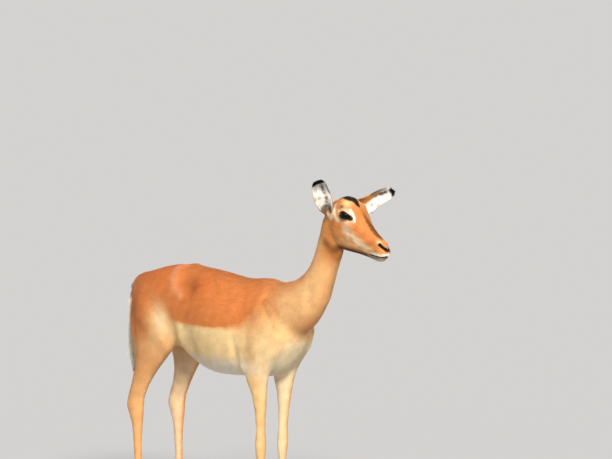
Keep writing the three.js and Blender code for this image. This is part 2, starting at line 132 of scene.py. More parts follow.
def new_object(name, points, triangles, smooth=True):
    mesh = bpy.data.meshes.new(name)
    mesh.vertices.add(len(points))
    mesh.vertices.foreach_set("co", np.asarray(points, np.float32).ravel())
    mesh.loops.add(len(triangles) * 3)
    mesh.loops.foreach_set("vertex_index", np.asarray(triangles, np.int32).ravel())
    mesh.polygons.add(len(triangles))
    mesh.polygons.foreach_set("loop_start", np.arange(0, len(triangles) * 3, 3, dtype=np.int32))
    mesh.polygons.foreach_set("use_smooth", np.full(len(triangles), smooth))
    mesh.update(calc_edges=True)
    made = bpy.data.objects.new(name, mesh)
    bpy.context.scene.collection.objects.link(made)
    return made


def normals_of(points, triangles):
    a, b, c = (points[triangles[:, k]] for k in range(3))
    faces = np.cross(b - a, c - a)
    normals = np.stack([
        sum(np.bincount(triangles[:, k], faces[:, axis], len(points)) for k in range(3))
        for axis in range(3)], axis=1)
    return unit(normals)


class Ring:
    """The neighbours of every point of a closed mesh, for averaging over them."""

    def __init__(self, count, triangles):
        start = triangles.ravel()
        end = np.roll(triangles, -1, axis=1).ravel()
        order = np.argsort(start, kind="stable")
        self.start, self.end = start[order], end[order]
        self.degree = np.bincount(self.start, minlength=count).astype(float)
        self.first = np.searchsorted(self.start, np.arange(count))

    def mean(self, values):
        sums = np.add.reduceat(values[self.end], self.first, axis=0)
        return sums / (self.degree if values.ndim == 1 else self.degree[:, None])

    def spread(self, values, times, share=0.5):
        for _ in range(times):
            values = values + share * (self.mean(values) - values)
        return values


def refined(points, triangles, wanted):
    """Each wanted triangle in four, with its neighbours divided to match."""
    pairs = np.sort(np.stack([triangles, np.roll(triangles, -1, axis=1)], axis=2), axis=2)
    keys = pairs[..., 0] * len(points) + pairs[..., 1]
    split = np.unique(keys[wanted])
    place = np.minimum(np.searchsorted(split, keys), len(split) - 1)
    has = split[place] == keys
    middles = (points[split // len(points)] + points[split % len(points)]) / 2
    new = place + len(points)
    count = has.sum(1)
    parts = [triangles[count == 0]]
    (a, b, c), (ab, bc, ca) = triangles[count == 3].T, new[count == 3].T
    parts += [np.stack(t, 1) for t in ((a, ab, ca), (ab, b, bc), (ca, bc, c), (ab, bc, ca))]
    for k in range(3):
        turned = (k + np.arange(3)) % 3
        one = (count == 1) & has[:, k]
        a, b, c = triangles[one][:, turned].T
        ab = new[one, k]
        parts += [np.stack(t, 1) for t in ((a, ab, c), (ab, b, c))]
        two = (count == 2) & has[:, k] & has[:, turned[1]]
        a, b, c = triangles[two][:, turned].T
        ab, bc = new[two, k], new[two, turned[1]]
        parts += [np.stack(t, 1) for t in ((a, ab, c), (ab, b, bc), (ab, bc, c))]
    return np.concatenate([points, middles]), np.concatenate(parts)


# ------------------------------------------------------------ the skin's form

FLESH = sorted(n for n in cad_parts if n.split("_")[0] not in ("eye", "hoof"))
LEGS = [n for n in FLESH if n.startswith("leg")]
HEAD_END = ("head", "ear", "eye", "neck")      # nodes that make the fine part of the skin
BODY_GRAIN, HEAD_GRAIN = 0.0060, 0.0024        # sizes of the first mesh's faces, in metres
# Where the fine and the coarser mesh meet across the neck, in metres from under the withers.
JOIN = dict(ahead=0.300, up=0.850, tilt=(0.58, 0.0, 0.815), gap=0.004, weld=0.0008)


def gathered(nodes):
    """The meshes of several nodes as one, and the node that each triangle comes from."""
    points, triangles, owner, count = [], [], [], 0
    for node in nodes:
        own_points, own_triangles = triangles_of(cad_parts[node].data)
        points.append(own_points)
        triangles.append(own_triangles + count)
        owner += [node] * len(own_triangles)
        count += len(own_points)
    return np.concatenate(points), np.concatenate(triangles), np.array(owner)


def filled(nodes, grain):
    """One closed mesh round all the nodes, of even faces."""
    rough = new_object("rough", *gathered(nodes)[:2])
    remesh = rough.modifiers.new("even", "REMESH")
    remesh.mode = "VOXEL"
    remesh.voxel_size = grain
    shape = rough.evaluated_get(bpy.context.evaluated_depsgraph_get())
    mesh = bpy.data.meshes.new_from_object(shape)
    bpy.data.objects.remove(rough)
    return mesh


def cut_across(mesh, point, tilt, cleared):
    """Clears one side of a plane, and closes up the short edges along the rim."""
    part = bmesh.new()
    part.from_mesh(mesh)
    bmesh.ops.bisect_plane(part, geom=part.verts[:] + part.edges[:] + part.faces[:],
                           plane_co=point, plane_no=tilt, **{cleared: True})
    rim = [v for v in part.verts if v.is_boundary]
    bmesh.ops.remove_doubles(part, verts=rim, dist=JOIN["weld"])
    part.to_mesh(mesh)
    part.free()


def whole_body():
    """The fine head and the coarser body, cut across the neck and joined there."""
    body = filled([n for n in FLESH if not n.startswith("ear")], BODY_GRAIN)
    head = filled([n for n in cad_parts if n.split("_")[0] in HEAD_END], HEAD_GRAIN)
    point = WITHERS + (JOIN["ahead"], 0, JOIN["up"])
    tilt = unit(JOIN["tilt"])
    cut_across(body, point, tilt, "clear_outer")
    cut_across(head, point + tilt * JOIN["gap"], tilt, "clear_inner")
    joined = bmesh.new()
    joined.from_mesh(body)
    joined.from_mesh(head)
    bmesh.ops.bridge_loops(joined, edges=[e for e in joined.edges if e.is_boundary])
    whole = bpy.data.meshes.new("whole")
    joined.to_mesh(whole)
    joined.free()
    return triangles_of(whole)


def part_finder():
    """A function that names the CAD part nearest to each point."""
    points, triangles, owner = gathered(FLESH)
    tree = BVHTree.FromPolygons(points.tolist(), triangles.tolist())
    return lambda places: owner[[tree.find_nearest(place)[2] for place in places.tolist()]]


def is_kind(names, kind):
    return np.char.startswith(names, kind)


# Millimetres that the smoothing spreads: many on the trunk, few on the fine parts.
REACH = {"trunk": 17, "neck": 9, "tail": 4, "ear": 2.2}
FINE_REACH = dict(least=2.8, head=3.0, shank=4, thigh=10)
SMOOTHING_TIMES = 60


def smoothing_reach(names, points):
    height = in_body(points)[:, 2]
    reach = FINE_REACH["least"] + FINE_REACH["head"] * rise(20, 60, -in_head(points)[:, 0])
    for kind, wide in REACH.items():
        reach[is_kind(names, kind)] = wide
    leg = is_kind(names, "leg")
    leg_reach = FINE_REACH["least"] + FINE_REACH["shank"] * rise(200, 420, height)
    leg_reach += FINE_REACH["thigh"] * rise(420, 560, height)
    reach[leg] = leg_reach[leg]
    return reach


def smoothed(points, triangles, names):
    """The form without the CAD's facets and creases, kept at its full size."""
    ring = Ring(len(points), triangles)
    edge = np.linalg.norm(points[ring.end] - points[ring.start], axis=1)
    grain = ring.spread(np.add.reduceat(edge, ring.first) / ring.degree, 5)
    reach = ring.spread(smoothing_reach(names, points), 25) / MM
    share = np.clip(2 * (reach / grain) ** 2 / SMOOTHING_TIMES, 0, 0.8)
    soft = ring.spread(points, SMOOTHING_TIMES, share[:, None])
    normals = normals_of(soft, triangles)
    lost = ((points - soft) * normals).sum(1)
    return soft + normals * ring.spread(lost, SMOOTHING_TIMES, share)[:, None]


find_part = part_finder()


# ------------------------------------------------------------ lids, nose and mouth

# A face's places are ahead of, beside and up from the crown, for the right and left alike.
EYE_LOOK = (0.28, 0.95, 0.10)            # the way an eye faces
EYE_SLANT = math.radians(-18)            # its front corner is the lower
# Half the length of the lids' opening, its height each way, and the shape of its curve.
EYE_OPENING = dict(half=22.6, up=9.6, down=8.6, widest=-0.25, round=2.2, full=0.72)
LID = dict(proud=1.6, flat=1.2, wide=7.5, sunk=3.0)
CREASE = dict(deep=1.0, at=5.8, wide=1.2)     # in the lid, and how far from its edge
LIPS = dict(groove=2.2, groove_wide=1.4, swell=0.9, swell_at=3.6, swell_wide=1.8)
MOUTH = [(94, -172.5), (119, -176.5), (138, -178.5), (149, -176.5)]    # ahead and up
NOSTRIL_WIDE, NOSTRIL_DEEP = 3.8, 7.5
NOSTRIL = [(130, 19, -140), (136, 16.5, -145.5), (142.5, 11, -151.5), (146.5, 6, -156)]


def mirrored(places):
    """Places with both sides laid on the left one."""
    return np.stack([places[:, 0], np.abs(places[:, 1]), places[:, 2]], axis=1)


def facing(points):
    return mirrored(in_head(points))


def eye_axes(side=1):
    """Along the lids, across them and out, for the left eye; -1 gives the right one's."""
    look = unit(EYE_LOOK) * (1, side, 1)
    along = np.array((math.cos(EYE_SLANT), 0, math.sin(EYE_SLANT)))
    along = unit(along - look * (along @ look))
    return np.array([along, np.cross(look, along), look])


def eye_places(points):
    """Places from an eye's centre, along its axes; both eyes alike."""
    centre = (EYE_AHEAD, abs(in_head(middle("eye_left"))[1]), -EYE_BELOW)
    return (facing(points) - centre) @ eye_axes().T


def lid_distance(points):
    """Distance from the lids' edge over the eyeball, negative where the eye shows."""
    places = eye_places(points)
    reach = np.linalg.norm(places, axis=1)
    turned = np.arctan2(np.hypot(places[:, 0], places[:, 1]), places[:, 2]) * EYE_RADIUS
    x, y = (turned * way for way in unit(places[:, :2]).T)
    half, widest = EYE_OPENING["half"], EYE_OPENING["widest"]
    past = x / half - widest
    t = np.clip(np.abs(past) / (1 - np.sign(past) * widest), 0, 1)
    tall = np.where(y > 0, EYE_OPENING["up"], EYE_OPENING["down"])
    tall = tall * (1 - t ** EYE_OPENING["round"]) ** EYE_OPENING["full"]
    level = np.hypot(np.maximum(np.abs(x) - half, 0), np.maximum(np.abs(y) - tall, 0))
    inside = np.maximum(np.abs(y) - tall, -np.maximum(half - np.abs(x), 0))
    distance = np.where((np.abs(y) < tall), inside, level)
    return np.where((places[:, 2] > 0) & (reach < EYE_RADIUS + 14), distance, FAR)


def line_distance(points, line):
    """Distance from a line of points, and how far along it the nearest place is, 0 to 1."""
    line = np.asarray(line)
    nearest, share = np.full(len(points), FAR), np.zeros(len(points))
    for k, (a, b) in enumerate(zip(line[:-1], line[1:])):
        t = np.clip(((points - a) @ (b - a)) / ((b - a) @ (b - a)), 0, 1)
        distance = np.linalg.norm(points - a - t[:, None] * (b - a), axis=1)
        closer = distance < nearest
        nearest = np.where(closer, distance, nearest)
        share = np.where(closer, (k + t) / (len(line) - 1), share)
    return nearest, share


def over_mouth(face):
    """How far each place is above the line between the lips, and how far from its nearest part."""
    above = face[:, 2] - np.interp(face[:, 0], *np.transpose(MOUTH))
    return above, np.hypot(above, np.maximum(MOUTH[0][0] - face[:, 0], 0))


# Swells and hollows: centre, size and height. Body places are ahead of the withers,
# beside the middle and over the floor; face places as above. Both sides are alike.
BODY_FORMS = {
    "behind the hip": ((-336, 95, 722), (14, 50, 34), -3.5),
    "flank hollow": ((-250, 90, 740), (26, 50, 26), -13),
    "before the hollow": ((-200, 95, 715), (35, 50, 45), 3),
    "flank fold": ((-285, 85, 590), (18, 50, 50), 8),
    "before the fold": ((-235, 85, 560), (26, 50, 40), -6),
    "thigh": ((-420, 105, 660), (50, 50, 60), 4.5),
    "thigh groove": ((-475, 95, 610), (12, 50, 85), -4),
    "shoulder blade": ((30, 75, 715), (13, 50, 50), 4),
    "behind the blade": ((-30, 90, 700), (22, 50, 50), -4.5),
    "point of shoulder": ((122, 90, 625), (22, 40, 26), 6),
    "arm": ((35, 95, 590), (26, 40, 35), 4.5),
    "behind the arm": ((-45, 95, 565), (14, 40, 50), -5),
    "elbow": ((-30, 85, 515), (12, 30, 16), 5),
    "breast": ((120, 25, 600), (30, 18, 50), 4),
    "neck groove": ((215, 40, 740), (14, 30, 75), -3.5),
    "front of the wither": ((75, 45, 735), (30, 30, 25), -4),
}
HIP_RIDGE = [(-318, 24, 794), (-337, 34, 787), (-328, 55, 778), (-313, 83, 755), (-297, 90, 730),
             (-275, 93, 708)]
# The fold between the thigh and the gaskin, along which painted shade goes.
THIGH_FOLD_SHADE = [(-432, 100, 618), (-396, 104, 584), (-364, 98, 548)]
ARM_FOLDS = [[(60, 66, 716), (95, 66, 694), (125, 63, 668)], [(80, 73, 698), (102, 73, 672), (117, 72, 643)]]
FACE_FORMS = {
    "brow": ((26, 43, -40), (15, 12, 6.5), 2.6),
    "tear pit": ((50, 34, -80), (10, 10, 8), -2.2),
    "cheek bone": ((28, 42, -92), (26, 15, 7), 2),
    "jaw muscle": ((-12, 42, -120), (20, 20, 24), 2.8),
    "before the jaw muscle": ((30, 36, -133), (11, 20, 22), -2.8),
    "temple": ((-14, 42, -52), (10, 15, 14), -2.2),
    "nose bone": ((85, 0, -85), (40, 6, 40), 1.2),
    "side of the nose": ((95, 22, -128), (22, 10, 12), -1.8),
    "nostril wing": ((136, 18, -142), (9, 7, 6), 3),
    "upper lip": ((132, 19, -167), (14, 8, 6), 1.6),
    "chin": ((128, 10, -190), (13, 14, 6), 1.4),
    "between the nostrils": ((150, 0, -166), (6, 2.2, 10), -1.4),
}


# Heights and widths of the ridges, grooves and swells that follow a line or a leg.
RIDGE = dict(tall=5.5, wide=13)
FOLD = dict(tall=2.2, wide=6)
TENDON = dict(deep=1.2, behind=3, wide=2.8)
CORONET = dict(tall=4.2, at=46, wide=10)
COAT_DEPTH = {"tail": 4.8, "ear": 0.8}         # how far the tips stand over the skin


def forms(points, names):
    """Height of the muscle and bone forms at each point."""
    body, face = mirrored(in_body(points)), facing(points)
    low = body[:, 2]
    leg = is_kind(names, "leg")
    height = sum(tall * hill(body, centre, size) for centre, size, tall in BODY_FORMS.values())
    height += sum(tall * hill(face, centre, size) for centre, size, tall in FACE_FORMS.values())
    ridge, along = line_distance(body, HIP_RIDGE)
    height += RIDGE["tall"] * bell(ridge, RIDGE["wide"]) * (1 - 0.5 * along) * is_kind(names, "trunk")
    for fold in ARM_FOLDS:
        height += FOLD["tall"] * bell(line_distance(body, fold)[0], FOLD["wide"])
    # the tendons of a leg stand clear of its bone
    ahead = np.zeros(len(points))
    for node in LEGS:
        own = names == node
        ahead[own] = points[own, 0] * MM - leg_middle(node, low[own])
    bony = rise(115, 150, low) * fall(240, 270, low) * leg
    height -= TENDON["deep"] * bony * bell(ahead + TENDON["behind"], TENDON["wide"])
    # and its hair swells over the top of the hoof
    height += CORONET["tall"] * leg * bell(low - CORONET["at"], CORONET["wide"])
    return height


def leg_middle(node, heights):
    """How far ahead the middle of a leg is at each height."""
    own = triangles_of(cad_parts[node].data)[0] * MM
    bins = np.arange(30, 520, 20)
    centres = []
    for low in bins:
        near = own[np.abs(own[:, 2] - low) < 22]
        centres.append((near[:, 0].min() + near[:, 0].max()) / 2 if len(near) else own[:, 0].mean())
    return np.interp(heights, bins, centres)


def coat_depth(points, names):
    """How far the coat's tips stand over the skin."""
    height = in_body(points)[:, 2]
    depth = np.full(len(points), 2.5)
    for kind, deep in COAT_DEPTH.items():
        depth[is_kind(names, kind)] = deep
    leg, head = is_kind(names, "leg"), is_kind(names, "head")
    leg_depth = 0.3 + 0.8 * rise(35, 60, height) + 1.3 * rise(300, 520, height)
    depth[leg] = leg_depth[leg]
    depth[head] = (1.4 - rise(90, 140, in_head(points)[:, 0]))[head]
    return depth


def openings(points):
    """How far each point is from the lids' edges, the nostrils and the mouth."""
    face = facing(points)
    slit, along = line_distance(face, NOSTRIL)
    return dict(lids=lid_distance(points), slit=slit, along=along, lip=over_mouth(face)[1])


def carve_face(points, triangles, near):
    """Opens the lids, nostrils and mouth."""
    normals = normals_of(points, triangles)
    distance, lip = near["lids"], near["lip"]
    left = (in_head(points)[:, 1] > 0)[:, None]
    centre = np.where(left, middle("eye_left"), middle("eye_right"))
    reach = np.linalg.norm(points - centre, axis=1) * MM
    edge = LID["proud"] * bell(np.maximum(distance - LID["flat"], 0), LID["wide"])
    crease = CREASE["deep"] * bell(distance - CREASE["at"], CREASE["wide"])
    wanted = np.maximum(reach, EYE_RADIUS + edge) - crease
    blend(wanted, EYE_RADIUS - LID["sunk"], fall(-0.4, 0.6, distance))
    around = (distance < FAR) & (reach < EYE_RADIUS + 12)
    points = np.where(around[:, None], centre + unit(points - centre) * wanted[:, None] / MM, points)
    width = NOSTRIL_WIDE * (0.55 + 0.9 * np.sin(np.pi * np.clip(near["along"] * 0.9 + 0.08, 0, 1)))
    points -= normals * (NOSTRIL_DEEP * np.exp(-(near["slit"] / width) ** 3))[:, None] / MM
    groove = LIPS["groove"] * bell(lip, LIPS["groove_wide"])
    swell = LIPS["swell"] * bell(lip - LIPS["swell_at"], LIPS["swell_wide"])
    return points + normals * (swell - groove)[:, None] / MM


FINER = ((1, 11), (2, 4.2))            # each refining, and how far from the openings
SHIN_TOP, BEFORE_TAIL = 0.42, 0.02     # metres over the floor, and clear of the tail


def fine_places(points, triangles, level, wide):
    """The triangles that the lids, nostrils, mouth and shins need finer."""
    middles = points[triangles].mean(1)
    face = facing(middles)
    wanted = np.abs(lid_distance(middles)) < wide
    wanted |= line_distance(face, NOSTRIL)[0] < wide * 0.9
    wanted |= over_mouth(face)[1] < wide * 0.7
    if level == 1:
        wanted |= (middles[:, 2] < SHIN_TOP) & (middles[:, 0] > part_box("tail")[1].x + BEFORE_TAIL)
    return wanted


def skin_form():
    points, triangles = whole_body()
    points = smoothed(points, triangles, find_part(points))
    for level, wide in FINER:
        points, triangles = refined(points, triangles, fine_places(points, triangles, level, wide))
        points = Ring(len(points), triangles).spread(points, 2, 0.3)
    names = find_part(points)
    ring = Ring(len(points), triangles)
    depth = ring.spread(coat_depth(points, names), 6)
    normals = normals_of(points, triangles)
    near = openings(points)
    points = points + normals * ring.spread(forms(points, names) - depth, 2)[:, None] / MM
    return carve_face(points, triangles, near), triangles, names, depth, near


# ------------------------------------------------------------ the ears, along and round them

# Lengths on the ears are in metres, and places along them are shares of their length.
EAR_AIMS = {   # the way its tip points, then the way it opens
    "right": ((0.351, -0.675, 0.650), (0.64, -0.30, -0.70)),
    "left": ((0.650, 0.670, 0.365), (0.70, -0.60, -0.30)),
}
EAR_STEPS, EAR_SLICE = 12, 0.012               # places measured along an ear, and half a slice there
EAR_FRONT = dict(root=0.004, longer=0.030, deep=0.012)    # where the normals of the hollow meet
EAR_ROOT = dict(start=-0.34, full=-0.20, inner=0.024, outer=0.031)     # its coat on the head


class Ear:
    """Places on one ear: along it from the root to the tip, across it and into its hollow."""

    def __init__(self, side):
        self.tip, opening = (unit(way) for way in EAR_AIMS[side])
        self.opening = unit(opening - self.tip * (opening @ self.tip))
        self.across = np.cross(self.tip, self.opening)
        self.across *= np.sign(self.across[2])
        own = triangles_of(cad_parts["ear_" + side].data)[0]
        along = own @ self.tip
        self.start, self.length = along.min(), np.ptp(along)
        self.steps = np.linspace(along.min(), along.max(), EAR_STEPS)
        rings = [own[np.abs(along - step) < EAR_SLICE] for step in self.steps]
        self.centres = np.array([ring.mean(0) for ring in rings])
        self.halves = np.array([np.ptp(ring @ self.across) / 2 for ring in rings])

    def places(self, points, normals):
        """Share along, place across as a share of its half, distance out, and 1 in the hollow."""
        along = points @ self.tip
        centre = np.stack([np.interp(along, self.steps, self.centres[:, k]) for k in range(3)], axis=1)
        off = points - centre
        off -= (off @ self.tip)[:, None] * self.tip
        t = (along - self.start) / self.length
        ahead = EAR_FRONT["root"] + EAR_FRONT["longer"] * rise(0, 1, t)
        deep = EAR_FRONT["deep"] * fall(-0.05, 0.10, t)
        toward = unit(self.opening * ahead[:, None] + self.tip * deep[:, None] - off)
        hollow = rise(-0.10, 0.30, (toward * normals).sum(1))
        beside = off @ self.across / np.interp(along, self.steps, self.halves)
        return t, beside, np.linalg.norm(off, axis=1), hollow


EARS = {side: Ear(side) for side in SIDES}


def ear_share(side, names, t, out):
    """1 on an ear and its root, 0 on the rest of the head."""
    root = rise(EAR_ROOT["start"], EAR_ROOT["full"], t) * is_kind(names, "head")
    root *= fall(EAR_ROOT["inner"], EAR_ROOT["outer"], out)
    return np.where(names == "ear_" + side, 1.0, root)


# ------------------------------------------------------------ the markings

COLOURS = {name: np.array(colour) for name, colour in {
    "rufous": (0.68, 0.215, 0.058), "red": (0.60, 0.140, 0.030), "fawn": (0.80, 0.420, 0.170),
    "face": (0.66, 0.255, 0.072), "pale": (0.92, 0.650, 0.320), "cream": (0.90, 0.740, 0.500),
    "white": (0.84, 0.760, 0.630), "snow": (0.93, 0.890, 0.820), "flesh": (0.80, 0.360, 0.190),
    "brown": (0.17, 0.055, 0.015), "dark": (0.060, 0.026, 0.012), "black": (0.010, 0.007, 0.005),
    "grey": (0.34, 0.280, 0.190), "skin": (0.009, 0.0065, 0.006),
}.items()}

# Lines on the face that its marks follow.
BROW_STRIPE = [(36, 37, -46), (42, 35, -55), (49, 34, -70)]
BROW_END = [(46, 35, -66), (51, 34, -79)]
TEMPLE_STRIPE = [(-22, 35, -30), (-23, 40, -49), (-19, 40, -64), (-6, 43, -76)]
TEMPLE_SHADE = [(-33, 36, -40), (-32, 42, -54), (-33, 39, -68), (-24, 40, -83)]
EYE_UNDER = [(-8, 43, -75), (12, 45, -81), (30, 45, -81), (46, 38, -78)]
EYE_OVER = [(12, 45, -41), (28, 42, -45), (41, 38, -58)]
CHEEK_BAND = [(20, 41, -106), (34, 36, -119), (52, 31, -132), (83, 21, -158)]
CHEEK_RED = [(56, 35, -88), (66, 31, -112), (90, 24, -134), (112, 21, -139)]
# Lines of painted shade along and under the jaw's lower edge, and behind it.
JAW_UNDER_SHADE = [(-32, 16, -160), (4, 16, -164), (39, 13, -171), (80, 10, -180)]
JAW_EDGE_SHADE = [(-18, 15, -162), (22, 14, -165), (42, 12, -170), (74, 12, -176)]
JAW_SHADE = [(-68, 29, -141), (-42, 22, -165), (-14, 10, -168)]
NOSE_PAD = [(145.5, 7.5, -157), (150, 0, -158.5)]
PHILTRUM = [(150, 0, -158.5), (149, 0, -176)]

# The saddle's lower edge over the floor, and how far it rises at the shoulder and the hip.
SADDLE = dict(edge=628, shoulder=60, hip=30, wave=4)
SADDLE_BLUR = dict(flank=7, hip=45, shoulder=50)               # how soft that edge is
BUTTOCK = dict(half=56, top=26, bottom=30, line=6.2)           # the white patch's half width
CORNER = dict(front=17, rear=15, long=11, short=8.5, half=3)   # of an eye
BRIDGE = dict(half=6, wider=3.5, narrower=2.5)                 # half width of the nose's brown
CROWN_PATCH = dict(ahead=9, long=33, half=21, narrower=10)


def ripple(points, size, seed):
    """Smooth, patternless waves about this many millimetres long, mostly from -1 to 1."""
    chance = np.random.default_rng(seed)
    ways = unit(chance.normal(size=(10, 3))) * (2 * np.pi * MM / size) * chance.uniform(0.6, 1.6, (10, 1))
    return np.sin(points @ ways.T + chance.uniform(0, 6.3, 10)).sum(1) / 4.5


def paint_body(add, points, normals, names, leg):
    body = mirrored(in_body(points))
    ahead, beside, height = body.T
    level = np.stack([ahead, height], 1)
    forward, outward, upward = normals[:, 0], np.abs(normals[:, 1]), normals[:, 2]
    wave, fine = ripple(points, 60, 1), ripple(points, 20, 2)
    side = 1 - rise(0.75, 1.0, np.abs(upward)) * (upward < 0)

    def spot(colour, share, centre, size, within=side):
        add(colour, share * within * hill(level, centre, size))

    # the red saddle, its sharp edge along the flank, and the pale band and belly below it
    soft = SADDLE_BLUR["flank"] + SADDLE_BLUR["hip"] * rise(285, 360, -ahead)
    soft += SADDLE_BLUR["shoulder"] * rise(-80, 50, ahead)
    edge = SADDLE["edge"] + SADDLE["shoulder"] * rise(-20, 90, ahead)
    edge += SADDLE["hip"] * rise(300, 400, -ahead) + SADDLE["wave"] * wave
    above = rise(edge - soft, edge + soft, height)
    add("rufous", above * (1 - 0.9 * rise(-10, 170, ahead)) * side)
    back = np.stack([beside, height - 790 - 0.1 * ahead], 1)
    add("brown", 0.24 * hill(back, (0, 0), (45, 50)) * fall(50, 160, ahead))
    barrel = fall(270, 350, -ahead)
    add("pale", (1 - above) * barrel * fall(-20, 60, ahead))
    # redder over the rump; painted shade behind the thigh and in its fold
    add("red", 0.45 * side * rise(300, 360, -ahead) * rise(630, 710, height))
    spot("fawn", 0.30, (-395, 690), (34, 34))
    haunch = side * rise(375, 430, -ahead) * rise(545, 600, height)
    add("rufous", 0.85 * haunch * fall(720, 760, height))
    spot("brown", 0.42, (-470, 655), (34, 60))
    add("brown", 0.34 * side * bell(line_distance(body, THIGH_FOLD_SHADE)[0] + 3 * wave, 18))
    add("rufous", 0.22 * rise(330, 380, -ahead) * rise(420, 500, height) * (height < 620))
    # pale before the thigh, partly its paler coat and partly a painted highlight; painted shade, red and
    # brown, in the hollows round the hip; a pink painted highlight along the hip bone
    spot("pale", 0.80, (-352, 628), (28, 48))
    spot("cream", 0.42, (-352, 628), (24, 42))
    spot("red", 0.55, (-225, 735), (60, 40))
    spot("brown", 0.56, (-255, 738), (24, 28))
    spot("brown", 0.32, (-338, 722), (10, 36))
    add("flesh", 0.56 * side * bell(line_distance(body, HIP_RIDGE)[0] + 2 * fine, 12))
    # painted shade in the creases beside the folds of the shoulder
    folds = [line_distance(body, fold)[0] for fold in ARM_FOLDS]
    add("brown", 0.36 * side * bell(np.min(folds, axis=0) - 8, 5))
    belly = fall(500, 560, height + 6 * wave) * barrel * (1 - leg) * fall(50, 120, ahead)
    inner = fall(30, 58, beside) * (height < 600) * barrel * 0.9
    add("white", np.maximum(belly, inner) * rise(380, 450, height))
    # shoulder and breast, with a pale spot over the point of the shoulder, partly its paler coat and partly
    # a painted highlight
    spot("rufous", 0.22, (35, 700), (55, 50), 1)
    spot("pale", 0.75, (90, 615), (45, 45), 1)
    spot("rufous", 0.40, (170, 660), (40, 50), fall(50, 80, beside))
    breast = fall(515, 635, height + 8 * wave) * rise(15, 60, ahead) * rise(420, 500, height)
    add("pale", np.sqrt(breast) * (1 - 0.75 * rise(55, 85, beside) * leg))
    add("cream", breast * (1 - 0.70 * rise(50, 80, beside)))
    # neck: a browner nape, a paler throat and shade under the jaw
    neck = is_kind(names, "neck") | (is_kind(names, "trunk") & (ahead > 120))
    add("pale", 0.30 * neck * rise(0.2, 0.9, outward))
    add("rufous", 0.55 * neck * rise(0.15, 0.8, 0.8 * upward - 0.6 * forward))
    add("cream", 0.70 * hill(in_head(points), (-10, 0, -235), (30, 24, 26)))
    add("brown", 0.50 * hill(in_head(points), (-12, 0, -180), (40, 50, 17)))
    # thighs, buttocks and the black line down each
    thigh = rise(330, 390, -ahead) * fall(600, 700, height) * rise(400, 500, height)
    spot("pale", 0.30, (-380, 560), (40, 50), thigh)
    rear = rise(0.1, 0.6, -forward) * rise(360, 440, -ahead)
    edge = BUTTOCK["half"] - BUTTOCK["top"] * rise(660, 735, height)
    edge -= BUTTOCK["bottom"] * fall(460, 600, height)
    patch = rear * fall(-4, 4, beside - edge + 3 * fine) * rise(430, 480, height)
    add("white", patch * fall(722, 745, height + 2 * fine))
    line = np.exp(-((beside - edge - 1 + 2 * fine) / BUTTOCK["line"]) ** 4)
    add("black", rear * line * rise(560, 600, height) * fall(705, 728, height))


def paint_legs(add, points, normals, names):
    height, forward = in_body(points)[:, 2], normals[:, 0]
    fine = ripple(points, 12, 3)
    for node in LEGS:
        own = names == node
        inward = -SIDES[node.split("_")[-1]] * normals[:, 1]
        add("pale", 0.40 * own * ("front" in node) * fall(420, 520, height))
        add("cream", 0.60 * own * rise(-0.1, 1.0, inward) * fall(460, 600, height))
        add("rufous", own * 0.22 * rise(-0.1, 1.0, forward) * fall(300, 450, height))
        add("cream", own * 0.35 * rise(0.1, 1.0, -forward) * fall(100, 300, height))
        add("brown", own * 0.75 * fall(50, 66, height + 2 * fine))
        if "hind" in node:                     # the black tuft over the fetlock
            tuft = rise(92, 104, height) * fall(158, 176, height)
            add("black", own * rise(-0.25, 0.15, -forward + 0.12 * fine) * tuft)


def paint_tail(add, points, normals, names):
    low, high = (np.array(corner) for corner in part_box("tail"))
    down = (high[2] - points[:, 2]) / (high[2] - low[2])
    beside = np.abs(points[:, 1] - (low[1] + high[1]) / 2) * MM
    forward, own = normals[:, 0], is_kind(names, "tail")
    add("white", own * rise(0.10, 0.35, down + 0.25 * rise(0.2, 0.8, forward)))
    dorsal = rise(0.0, 0.5, -forward) * fall(4.5, 7.5, beside)
    add("rufous", own * dorsal * fall(0.15, 0.40, down))
    add("black", own * dorsal * rise(0.18, 0.38, down))


